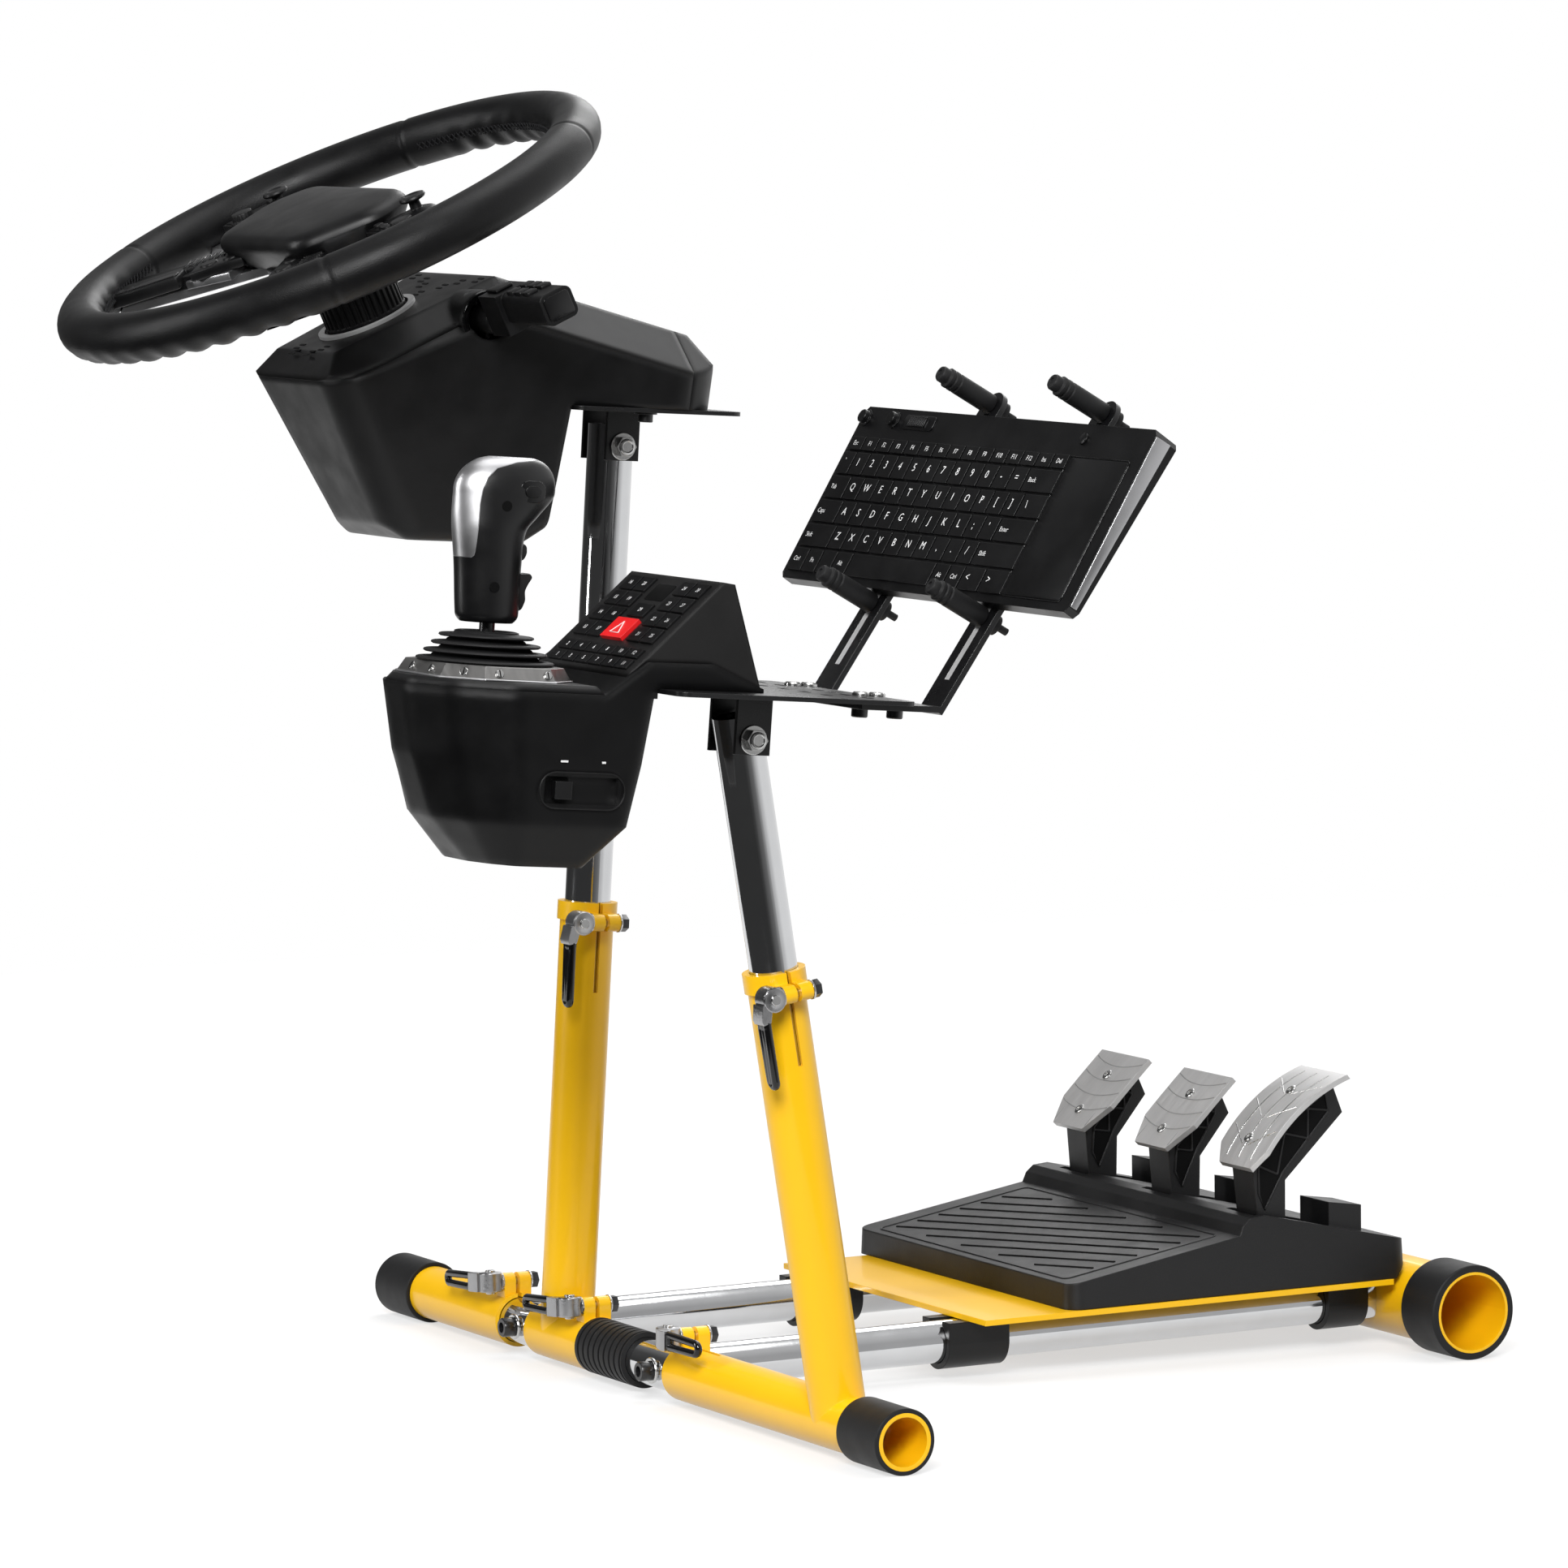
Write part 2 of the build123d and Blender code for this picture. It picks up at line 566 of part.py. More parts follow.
def lever_plane(clamp, along, up):
    """Pin plane of a lever whose handle lies along the clamp's X (along = 1 or -1)."""
    pin = local(clamp, y=-LEVER_OUT, z=TUBE_OUTER / 2 + LUG_REACH)
    turned = local(pin, turn=(0, 0, 0)) if along > 0 else local(pin, turn=(180, 0, 180))
    return local(turned, turn=(0, -up, 0))


LEVERS = {
    "left_foot_lever": lever_plane(LEFT_CLAMP, -1, 4),
    "mast_foot_lever": lever_plane(MAST_FOOT_CLAMP, -1, 4),
    "side_leg_foot_lever": lever_plane(LEG_FOOT_CLAMP, 1, 0),
    "mast_lever": lever_plane(MAST_CLAMP, 1, 0),
    "side_leg_lever": lever_plane(LEG_CLAMP, 1, 0),
}
for name, plane in LEVERS.items():
    save(cam_lever(plane), name)

STALK = local(WHEEL_DECK, x=STALK_HINGE_X, y=STALK_AXIS[0], z=STALK_AXIS[1], turn=(WHEEL_TILT, 0, 0))

# Wheel base: one moulded body, then cut into its shells along the seams
FLAT_FRONT_Z = BASE_TOP_REAR[1] + (BASE_TOP_FRONT_Y - BASE_TOP_REAR[0]) * tan(radians(WHEEL_TILT))
BASE_SIDE = [
    (BASE_REAR, 0.0),
    (BASE_REAR - 4.0, 26.0),
    (BASE_REAR - 13.0, 42.0),
    BASE_REAR_SHOULDER,
    BASE_TOP_REAR,
    (BASE_TOP_FRONT_Y, FLAT_FRONT_Z),
    BASE_NOSE,
    (BASE_BOTTOM_FRONT - 16.0, BASE_BOTTOM_Z + 10.0),
    (BASE_BOTTOM_FRONT, BASE_BOTTOM_Z),
    (BASE_STEP - 20.0, BASE_BOTTOM_Z),
    (BASE_STEP - 5.0, BASE_BOTTOM_Z + 11.0),
    (BASE_STEP, 0.0),
]
SEAM = [
    (BASE_NOSE[0] - 60.0, BASE_NOSE[1] - 2.0),
    (BASE_NOSE[0] + 2.0, BASE_NOSE[1]),
    (-233.0, 12.0),
    (-211.0, 22.5),
    (-160.0, 50.0),
    (-135.0, 56.5),
    (-105.0, 51.0),
    (20.5, 21.8),
    (BASE_REAR + 20.0, 11.5),
]


def base_outline(z):
    """Outline of the wheel base at one height: it narrows towards the nose and the floor."""
    up = z - BASE_NOSE[1]
    nose = BASE_NOSE_HALF_WIDTH + BASE_DRAFT * up
    rear = BASE_REAR_HALF_WIDTH + BASE_DRAFT * up
    front = BASE_NOSE[0] - BASE_NOSE_SLOPE * up
    with BuildSketch(local(WHEEL_DECK, z=z)) as outline:
        with BuildLine():
            Polyline((-nose, front), (nose, front), (rear, BASE_REAR), (-rear, BASE_REAR), close=True)
        make_face()
        fillet(outline.vertices().group_by(Axis.Y)[0], BASE_NOSE_ROUND)
        fillet(outline.vertices().group_by(Axis.Y)[-1], BASE_REAR_ROUND)
    return outline.sketch


def facet(plane, a, b, c):
    """Cut away all that lies outside the plane through three points, on both sides of the middle."""
    for sign in (-1, 1):
        p, q, r = [Vector(sign * x, y, z) for x, y, z in (a, b, c)]
        out = (q - p).cross(r - p).normalized()
        if out.X * sign < 0:
            out = -out
        cut = Plane(plane.location * Plane(p, (q - p).normalized(), out).location)
        block(cut, (0, 0, BASE_REAR_HALF_WIDTH), (1000, 1000, 2 * BASE_REAR_HALF_WIDTH), Mode.SUBTRACT)


def base_body():
    """The whole outer form of the wheel base, with the stalk's boss on its right."""
    reach = 2 * BASE_REAR_HALF_WIDTH
    flat_front = (FLAT_HALF_WIDTHS[0], BASE_TOP_FRONT_Y, FLAT_FRONT_Z)
    flat_rear = (FLAT_HALF_WIDTHS[1], *BASE_TOP_REAR)
    shoulder = (FLAT_HALF_WIDTHS[2], *BASE_REAR_SHOULDER)
    with BuildPart() as body:
        loft([base_outline(BASE_BOTTOM_Z), base_outline(BASE_LOFT_TOP)], ruled=True)
        profile(WHEEL_DECK, BASE_SIDE, -reach, reach, Mode.INTERSECT)
        facet(WHEEL_DECK, flat_front, flat_rear, SHOULDER_POINTS[0])
        facet(WHEEL_DECK, flat_rear, shoulder, SHOULDER_POINTS[1])
        belly = [e for e in body.edges() if WHEEL_DECK.to_local_coords(e.center()).Z < BASE_BOTTOM_Z + 12]
        fillet(belly, 8.0)
        bar_x(STALK, -STALK_HOLE_DEPTH, STALK_BOSS_REACH, STALK_BOSS)
    return body


def above_seam(mode):
    """The space over the wheel base's seam."""
    reach = 2 * BASE_REAR_HALF_WIDTH
    profile(WHEEL_DECK, [*SEAM, (SEAM[-1][0], 150.0), (SEAM[0][0], 150.0)], -reach, reach, mode)


def behind_cap(mode):
    """The space behind the wheel base's rear cap seam."""
    block(WHEEL_DECK, (0, REAR_CAP_PLANE + 50.0, 0), (4 * BASE_REAR_HALF_WIDTH, 100.0, 400.0), mode)


# Depth of the wheel base's flat top below the wheel's centre, along the column
FLAT_DEPTH = ((BASE_TOP_REAR[0] - WHEEL_CENTRE[0]) * sin(radians(WHEEL_TILT))
              - (BASE_TOP_REAR[1] - WHEEL_CENTRE[1]) * cos(radians(WHEEL_TILT)))


def stalk_hole():
    """The opening in the wheel base's side where the stalk comes out."""
    cut_x(STALK, STALK_HOLE_DEPTH - STALK_HOLE, 3 * STALK_HOLE, STALK_HOLE)
    rod(STALK, -STALK_BOSS / 2 + 1, STALK_BOSS / 2 - 1, STALK_PIN + 2 * RUNNING_CLEARANCE, Mode.SUBTRACT)


def shaft_hole():
    """The bearing in the wheel base that carries the steering shaft."""
    depth = FLAT_DEPTH + COLUMN_SINK + STEERING_SHAFT_LENGTH + SEAT_GAP
    rod(WHEEL, -depth, 0, STEERING_SHAFT + 2 * SEAT_GAP, Mode.SUBTRACT)


body = base_body()
with BuildPart() as base_shell:
    add(body.part)
    above_seam(Mode.SUBTRACT)
    behind_cap(Mode.SUBTRACT)
    stalk_hole()
    shaft_hole()
save(base_shell, "wheel_base_shell")

with BuildPart() as base_cover:
    add(body.part)
    above_seam(Mode.INTERSECT)
    behind_cap(Mode.SUBTRACT)
    stalk_hole()
    rod(WHEEL, -FLAT_DEPTH - COLUMN_SINK - COLUMN_GAP, 0, COLUMN_OUTER + 2 * COLUMN_GAP, Mode.SUBTRACT)
    shaft_hole()
save(base_cover, "wheel_base_cover")

with BuildPart() as base_rear_cap:
    add(body.part)
    behind_cap(Mode.INTERSECT)
save(base_rear_cap, "wheel_base_rear_cap")

with BuildPart() as column_ring:
    rod(WHEEL, -FLAT_DEPTH, COLLAR_RING_HEIGHT - FLAT_DEPTH, COLLAR_RING_OUTER)
    rod(WHEEL, -FLAT_DEPTH, COLLAR_RING_HEIGHT - FLAT_DEPTH, COLUMN_OUTER + 2 * COLUMN_GAP, Mode.SUBTRACT)
save(column_ring, "column_ring")

# Steering wheel
SPOKE_BOTTOM = SPOKE_TOP - SPOKE_THICKNESS
with BuildPart() as column:
    rod(WHEEL, -FLAT_DEPTH - COLUMN_SINK, SPOKE_BOTTOM, COLUMN_OUTER)
    with BuildSketch(WHEEL.offset(COLLAR_RING_HEIGHT - FLAT_DEPTH + COLUMN_GAP)) as flutes:
        with PolarLocations(COLUMN_OUTER / 2, COLUMN_FLUTES):
            Circle(COLUMN_OUTER / 2 * sin(radians(180 / COLUMN_FLUTES)) * 0.55)
    extrude(flutes.sketch, amount=FLAT_DEPTH, mode=Mode.SUBTRACT)
    rod(WHEEL, -FLAT_DEPTH - COLUMN_SINK - STEERING_SHAFT_LENGTH, SPOKE_BOTTOM, STEERING_SHAFT)
save(column, "wheel_column")

with BuildPart(WHEEL) as rim:
    Torus(RIM_RADIUS, RIM_TUBE)
save(rim, "wheel_rim")


def clear_rim(plane_part):
    """Take the rim and a small gap from the part being built."""
    add(plane_part.part, mode=Mode.SUBTRACT)


with BuildPart(WHEEL) as rim_space:
    Torus(RIM_RADIUS, RIM_TUBE + SEAT_GAP)

with BuildPart() as spokes:
    with BuildSketch(WHEEL.offset(SPOKE_BOTTOM)):
        Circle(HUB_DISC)
        Rectangle(2 * RIM_RADIUS, SPOKE_WIDTH)
        for sign in (-1, 1):
            turned = sign * LOW_SPOKE_ANGLE
            with Locations(Location((0, 0, 0), (0, 0, -turned if sign > 0 else 180 - turned))):
                with Locations((RIM_RADIUS / 2, 0)):
                    Rectangle(RIM_RADIUS, LOW_SPOKE_WIDTH)
    extrude(amount=SPOKE_THICKNESS)
    clear_rim(rim_space)
save(spokes, "wheel_spokes")



def hub_points(half, top, bottom, scale=1.0):
    """Six corners of the hub pad's outline."""
    right = [bottom, (half, 0.0), top]
    return [(x * scale, y * scale) for x, y in right + [(-x, y) for x, y in reversed(right)]]


def hub_outline(z, points, corner):
    """Outline of the hub pad at one height, with rounded corners."""
    with BuildSketch(WHEEL.offset(z)) as outline:
        with BuildLine():
            Polyline(*points, close=True)
        make_face()
        fillet(outline.vertices(), corner)
    return outline.sketch


HUB_OUTLINE = hub_points(HUB_HALF_WIDTH, HUB_TOP, HUB_BOTTOM)
with BuildPart() as hub_pad:
    hub_rim = hub_outline(HUB_RIM, HUB_OUTLINE, 12.0)
    hub_face = hub_outline(HUB_FACE, hub_points(HUB_FACE_HALF_WIDTH, HUB_FACE_TOP, HUB_FACE_BOTTOM), 12.0)
    hub_back = hub_outline(HUB_BACK, hub_points(HUB_HALF_WIDTH, HUB_TOP, HUB_BOTTOM, HUB_BACK_SHRINK), 10.0)
    loft([hub_rim, hub_face], ruled=True)
    loft([hub_back, hub_rim], ruled=True)
save(hub_pad, "wheel_hub_pad")

with BuildPart() as pods:
    for sign in (-1, 1):
        block(WHEEL, (sign * POD_CENTRE[0], POD_CENTRE[1], SPOKE_TOP + POD_SIZE[2] / 2), POD_SIZE)
    clear_rim(rim_space)
    with BuildSketch(WHEEL.offset(SPOKE_TOP)):
        with BuildLine():
            Polyline(*HUB_OUTLINE, close=True)
        make_face()
        offset(amount=1.0)
    extrude(amount=HUB_FACE - HUB_BACK, mode=Mode.SUBTRACT)
save(pods, "wheel_button_pods")

with BuildPart() as panels:
    for sign in (-1, 1):
        turned = -LOW_SPOKE_ANGLE if sign > 0 else 180 + LOW_SPOKE_ANGLE
        arm = local(WHEEL, turn=(0, 0, turned))
        block(arm, (RIM_RADIUS * 0.75, 0, SPOKE_TOP + PANEL_HEIGHT / 2),
              (RIM_RADIUS / 2, LOW_SPOKE_WIDTH, PANEL_HEIGHT))
    clear_rim(rim_space)
    with BuildSketch(WHEEL.offset(SPOKE_TOP)):
        with BuildLine():
            Polyline(*HUB_OUTLINE, close=True)
        make_face()
        offset(amount=1.0)
    extrude(amount=HUB_FACE - HUB_BACK, mode=Mode.SUBTRACT)
    for sign in (-1, 1):
        block(WHEEL, (sign * POD_CENTRE[0], POD_CENTRE[1], 0), (POD_SIZE[0] + 1, POD_SIZE[1] + 1, 60),
              Mode.SUBTRACT)
save(panels, "wheel_spoke_panels")

# Stalk
with BuildPart() as stalk:
    neck_end = STALK_HEAD_START - STALK_HINGE_X
    head_length = STALK_REACH - STALK_HEAD_START
    block(STALK, (neck_end + head_length / 2, *STALK_HEAD_RISE),
          (head_length, STALK_HEAD_WIDTH, STALK_HEAD_THICKNESS))
    fillet(stalk.edges().filter_by(lambda e: abs(e.tangent_at(0.5).dot(STALK.x_dir)) > 0.9), 5.0)
    block(STALK, (neck_end + 13, STALK_HEAD_RISE[0] - 3, STALK_HEAD_RISE[1] - 3),
          (26, STALK_HEAD_WIDTH + 1, STALK_HEAD_THICKNESS + 7))
    bar_x(STALK, -STALK_PIN, neck_end + 1, STALK_TUBE)
    rod(STALK, -STALK_BOSS / 2 + 1.5, STALK_BOSS / 2 - 1.5, STALK_PIN)
save(stalk, "stalk")

# Shifter box
BOX_SECTIONS = (
    (BOX_RIM, 0.0, BOX_HALF_WIDTH, BOX_BACK),
    (-43.0, 9.5, BOX_HALF_WIDTH - 2.0, BOX_BACK - 5.0),
    (BOX_BEVEL - BOX_DEPTH, 25.0, BOX_HALF_WIDTH - 4.0, BOX_BACK - 12.0),
    (-BOX_DEPTH, 52.0, BOX_FLOOR_HALF_WIDTH, BOX_BACK - 34.0),
)


def box_outline(z, setback, half, back, inset=0.0, back_round=6.0):
    """Outline of the shifter box at one height: a nose with two facets on each side."""
    front = BOX_FRONT + setback + inset
    facet_depth = 17.5 - 0.2 * setback
    side_start = front + 55.5 - 0.72 * setback
    right = [(16.6, front), (0.72 * half, front + facet_depth), (half - inset, side_start)]
    left = [(-x, y) for x, y in reversed(right)]
    with BuildSketch(local(SHIFTER_TOP, z=z)) as outline:
        with BuildLine():
            Polyline(*right, (half - inset, back), (inset - half, back), *left, close=True)
        make_face()
        if back_round:
            fillet(outline.vertices().group_by(Axis.Y)[-1], back_round)
        fillet(outline.vertices().group_by(Axis.Y)[:3], 26.0 - 0.27 * setback)
    return outline.sketch


LIP_SIDE = [
    (LIP_START, 0.0), (LIP_START, BOX_RIM), LIP_FRONT, LIP_BACK, CONSOLE_BACK, (CONSOLE_BACK[0], DECK_RISE),
    (BOX_BACK, DECK_RISE), (BOX_BACK, 0.0),
]
LEVER = local(SHIFTER_TOP, y=LEVER_Y)
GATE_AXIS = local(LEVER, z=GIMBAL_Z, turn=(-90, 0, 0))
gate_pin = BOX_BORE / 2 + GIMBAL_PIN_SEAT
with BuildPart() as shifter_box:
    loft([box_outline(*section) for section in reversed(BOX_SECTIONS)], ruled=True)
    profile(SHIFTER_TOP, LIP_SIDE, -BOX_HALF_WIDTH, BOX_HALF_WIDTH)
    block(SHIFTER_TOP, (BOX_HALF_WIDTH, *SWITCH_CENTRE), (2 * SWITCH_DEPTH, SWITCH_LENGTH, SWITCH_HEIGHT),
          Mode.SUBTRACT)
    rod(local(SHIFTER_TOP, y=LEVER_Y), GIMBAL_Z - GIMBAL_INNER, BOX_BORE, BOX_BORE, Mode.SUBTRACT)
    rod(GATE_AXIS, -gate_pin - SEAT_GAP, gate_pin + SEAT_GAP, GIMBAL_PIN + 2 * RUNNING_CLEARANCE,
        Mode.SUBTRACT)
save(shifter_box, "shifter_box")

SWITCH_FLOOR = BOX_HALF_WIDTH - SWITCH_DEPTH
with BuildPart() as mode_switch:
    slider_x = SWITCH_FLOOR + SLIDER_INSET + SWITCH_DEPTH / 2 - 1
    block(SHIFTER_TOP, (slider_x, SWITCH_CENTRE[0] - SWITCH_LENGTH / 4, SWITCH_CENTRE[1]),
          (SWITCH_DEPTH - 2, SLIDER_LENGTH, SWITCH_HEIGHT - 6))
save(mode_switch, "mode_switch")

lip_rise = (LIP_FRONT[1] - BOX_RIM) / (LIP_FRONT[0] - LIP_START)
CONSOLE_FRONT = (CONSOLE_FRONT_Y, BOX_RIM + (CONSOLE_FRONT_Y - LIP_START) * lip_rise)
with BuildPart() as console:
    console_side = [CONSOLE_FRONT, CONSOLE_TOP_FRONT, CONSOLE_TOP_BACK, CONSOLE_BACK, LIP_BACK, LIP_FRONT]
    profile(SHIFTER_TOP, console_side, -CONSOLE_HALF_WIDTH, CONSOLE_HALF_WIDTH)
save(console, "shifter_console")

# Bevelled top plate of the shifter box
with BuildPart() as top_plate:
    plate_outline = box_outline(BOX_RIM, 0.0, BOX_HALF_WIDTH, LIP_START, inset=1.5, back_round=0.0)
    extrude(plate_outline, amount=BOX_TOP - BOX_RIM, taper=40)
    rod(LEVER, 0, BOX_BORE, BOX_BORE, Mode.SUBTRACT)
save(top_plate, "shifter_top_plate")

# Keys on the console's sloping panel; the panel's frame has X across and Y up the slope
slope_run = CONSOLE_TOP_FRONT[0] - CONSOLE_FRONT[0]
slope_rise = CONSOLE_TOP_FRONT[1] - CONSOLE_FRONT[1]
slope_length = sqrt(slope_run ** 2 + slope_rise ** 2)
slope_angle = degrees(asin(slope_rise / slope_length))
PANEL = local(SHIFTER_TOP, y=CONSOLE_FRONT[0], z=CONSOLE_FRONT[1], turn=(slope_angle, 0, 0))
with BuildPart() as console_keys:
    for left, right, low, high, columns, rows in CONSOLE_KEY_BLOCKS:
        key_w = (right - left) / columns
        key_h = (high - low) / rows
        for col in range(columns):
            for row in range(rows):
                block(PANEL, (left + (col + 0.5) * key_w, low + (row + 0.5) * key_h, CONSOLE_KEY_HEIGHT / 2),
                      (key_w - CONSOLE_KEY_GAP, key_h - CONSOLE_KEY_GAP, CONSOLE_KEY_HEIGHT))
save(console_keys, "console_keys")
with BuildPart() as hazard:
    block(PANEL, (0, 38.5, 1.5), (29.0, 18.0, 3.0))
save(hazard, "hazard_button")

with BuildPart() as trim:
    with BuildSketch(local(SHIFTER_TOP, y=LEVER_Y, z=BOX_TOP)):
        Rectangle(2 * TRIM_HALF_WIDTH, 2 * TRIM_HALF_LENGTH)
        chamfer(vertices(), TRIM_CORNER)
    extrude(amount=TRIM_HEIGHT, taper=30)
    rod(local(SHIFTER_TOP, y=LEVER_Y), 0, BOX_BORE, BOX_BORE, Mode.SUBTRACT)
save(trim, "shifter_trim")

# Gear lever
BOOT_Z = BOX_TOP + TRIM_HEIGHT
with BuildPart() as boot:
    with BuildSketch(side(LEVER)):
        with BuildLine():
            fold = BOOT_HEIGHT / (2 * BOOT_FOLDS)
            outer = []
            for i in range(2 * BOOT_FOLDS + 1):
                grow = 3.0 if i % 2 == 0 else -3.0
                radius = (BOOT_BASE + (BOOT_TOP - BOOT_BASE) * i / (2 * BOOT_FOLDS)) / 2
                outer.append((radius + grow, BOOT_Z + i * fold))
            inner = [(y - 3.0, z) for y, z in reversed(outer)]
            Polyline(*outer, *inner, close=True)
        make_face()
    revolve(axis=Axis(LEVER.origin, LEVER.z_dir))
save(boot, "lever_boot")

with BuildPart() as gimbal:
    rod(LEVER, GIMBAL_Z - GIMBAL_HEIGHT / 2, GIMBAL_Z + GIMBAL_HEIGHT / 2, GIMBAL_OUTER)
    rod(GATE_AXIS, -gate_pin, gate_pin, GIMBAL_PIN)
    rod(LEVER, GIMBAL_Z - GIMBAL_HEIGHT, GIMBAL_Z + GIMBAL_HEIGHT, GIMBAL_INNER, Mode.SUBTRACT)
    cut_x(local(LEVER, z=GIMBAL_Z), -GIMBAL_OUTER, GIMBAL_OUTER, GIMBAL_PIN + 2 * RUNNING_CLEARANCE)
save(gimbal, "lever_gimbal")

KNOB_SECTIONS = (
    (KNOB_BOTTOM, -1.0, 18.0, 15.0), (KNOB_BOTTOM + 5.0, -1.0, 21.0, 17.0), (78.0, -2.5, 22.5, 18.0),
    (100.0, -3.0, 25.0, 18.5), (105.0, -1.5, 27.0, 18.5), (110.0, 0.5, 29.5, 18.5), (116.0, 3.5, 32.5, 18.5),
    (122.0, 5.5, 34.5, 18.5), (128.0, 6.2, 35.0, 18.0), (134.0, 6.8, 33.5, 17.0), (139.0, 7.6, 30.5, 15.0),
    (143.0, 8.4, 26.0, 12.5), (147.0, 9.0, 18.0, 8.0),
)
SPINE_SIDE = [
    (-60.0, 80.0), (-14.0, 80.0), (-14.0, 117.0), (-12.0, 129.0), (-4.0, 137.0),
    (10.0, 141.5), (30.0, 145.0), (60.0, 150.0), (60.0, 200.0), (-60.0, 200.0),
]
with BuildPart() as grip_form:
    sections = []
    for z, y, half_depth, half_width in KNOB_SECTIONS:
        with BuildSketch(local(LEVER, y=y, z=z)) as oval:
            Ellipse(half_width, half_depth)
        sections.append(oval.sketch)
    loft(sections, ruled=True)
with BuildPart() as knob:
    add(grip_form.part)
    profile(LEVER, SPINE_SIDE, -BOX_BORE, BOX_BORE, Mode.SUBTRACT)
    rod(LEVER, GIMBAL_Z, KNOB_BOTTOM + 1, SHAFT_OUTER)
    bar_x(local(LEVER, z=GIMBAL_Z), -LEVER_BALL / 2, LEVER_BALL / 2, LEVER_BALL)
    bar_x(local(LEVER, z=GIMBAL_Z), -GIMBAL_OUTER / 2, GIMBAL_OUTER / 2, GIMBAL_PIN)
save(knob, "lever_knob")
with BuildPart() as spine:
    add(grip_form.part)
    profile(LEVER, SPINE_SIDE, -BOX_BORE, BOX_BORE, Mode.INTERSECT)
save(spine, "lever_spine")

# Keyboard holder and keyboard
with BuildPart() as holder:
    base_z = DECK_RISE - DECK_THICKNESS - HOLDER_THICKNESS / 2
    block(SHIFTER_TOP, (0, HOLDER_Y - HOLDER_DEPTH / 2, base_z),
          (ARM_SPACING + ARM_WIDTH, HOLDER_DEPTH, HOLDER_THICKNESS))
    for sign in (-1, 1):
        x = sign * ARM_SPACING / 2
        straight = ARM_LENGTH - ARM_WIDTH / 2
        block(HOLDER, (x, HOLDER_THICKNESS / 2, (straight - HOLDER_THICKNESS) / 2),
              (ARM_WIDTH, HOLDER_THICKNESS, straight + HOLDER_THICKNESS))
        rod(local(HOLDER, x=x, z=straight, turn=(-90, 0, 0)), 0, HOLDER_THICKNESS, ARM_WIDTH)
        block(HOLDER, (x, HOLDER_THICKNESS / 2, ARM_LENGTH / 2 + 7),
              (ARM_SLOT, 4 * HOLDER_THICKNESS, ARM_LENGTH - 26), Mode.SUBTRACT)
save(holder, "keyboard_holder")

peg_stand_off = PEG_OUTER / 2 * tan(radians(PEG_DROOP)) + WELD_GAP
with BuildPart() as pegs:
    for sign in (-1, 1):
        for z in (PEG_LOW, PEG_HIGH):
            peg = local(HOLDER, x=sign * ARM_SPACING / 2, z=z, turn=(90 + PEG_DROOP, 0, 0))
            rod(peg, peg_stand_off, PEG_LENGTH, PEG_OUTER)
            rod(peg, -HOLDER_THICKNESS - 16, 1, ARM_SLOT - 1)
            rod(peg, -HOLDER_THICKNESS - peg_stand_off - 6, -HOLDER_THICKNESS - peg_stand_off, PEG_OUTER)
save(pegs, "holder_pegs")

KEYBOARD_LOW = PEG_LOW + PEG_OUTER / 2 + SEAT_GAP
keyboard_width = KEYBOARD_RIGHT - KEYBOARD_LEFT
keyboard_top = KEYBOARD_EDGE + KEYBOARD_HEIGHT * sin(radians(KEYBOARD_WEDGE))
keyboard_rise = KEYBOARD_HEIGHT * cos(radians(KEYBOARD_WEDGE))
KEYBOARD = local(local(HOLDER, x=(KEYBOARD_LEFT + KEYBOARD_RIGHT) / 2, y=-KEYBOARD_EDGE, z=KEYBOARD_LOW,
                       turn=(90 + KEYBOARD_WEDGE, 0, 0)), y=KEYBOARD_HEIGHT / 2)
with BuildPart() as keyboard:
    profile(local(HOLDER, x=(KEYBOARD_LEFT + KEYBOARD_RIGHT) / 2, z=KEYBOARD_LOW),
            [(0, 0), (0, keyboard_rise), (-keyboard_top, keyboard_rise), (-KEYBOARD_EDGE, 0)],
            -keyboard_width / 2, keyboard_width / 2)
    corners = keyboard.edges().filter_by(lambda e: abs(e.tangent_at(0.5).dot(HOLDER.y_dir)) > 0.9)
    chamfer(corners, 4.0)
save(keyboard, "keyboard_case")

# Key widths of each row in key pitches, from the bottom row up
KEY_ROWS = (
    (1.1, 1.0, 1.0, 1.1, 5.8, 1.0, 1.0, 1.4, 1.6),
    (2.1,) + (1.0,) * 10 + (2.9,),
    (1.7,) + (1.0,) * 11 + (2.3,),
    (1.4,) + (1.0,) * 12 + (1.6,),
    (0.9,) + (1.0,) * 12 + (2.1,),
    (1.0,) * 15,
)
with BuildPart() as keys:
    y = KEY_MARGIN - KEYBOARD_HEIGHT / 2
    for row in KEY_ROWS:
        height = KEY_TOP_ROW if row is KEY_ROWS[-1] else KEY_ROW
        x = KEY_MARGIN - keyboard_width / 2
        for units in row:
            width = units * KEY_PITCH
            block(KEYBOARD, (x + width / 2, y + height / 2, KEY_HEIGHT / 2),
                  (width - KEY_GAP, height - KEY_GAP, KEY_HEIGHT))
            x += width
        y += height
save(keys, "keyboard_keys")

# Pedal deck
with BuildPart() as pedal_plate:
    block(RAILS, (0, (PLATE_FRONT + PLATE_BACK) / 2, PLATE_TOP - PLATE_THICKNESS / 2),
          (PLATE_WIDTH, PLATE_BACK - PLATE_FRONT, PLATE_THICKNESS))
save(pedal_plate, "pedal_plate")

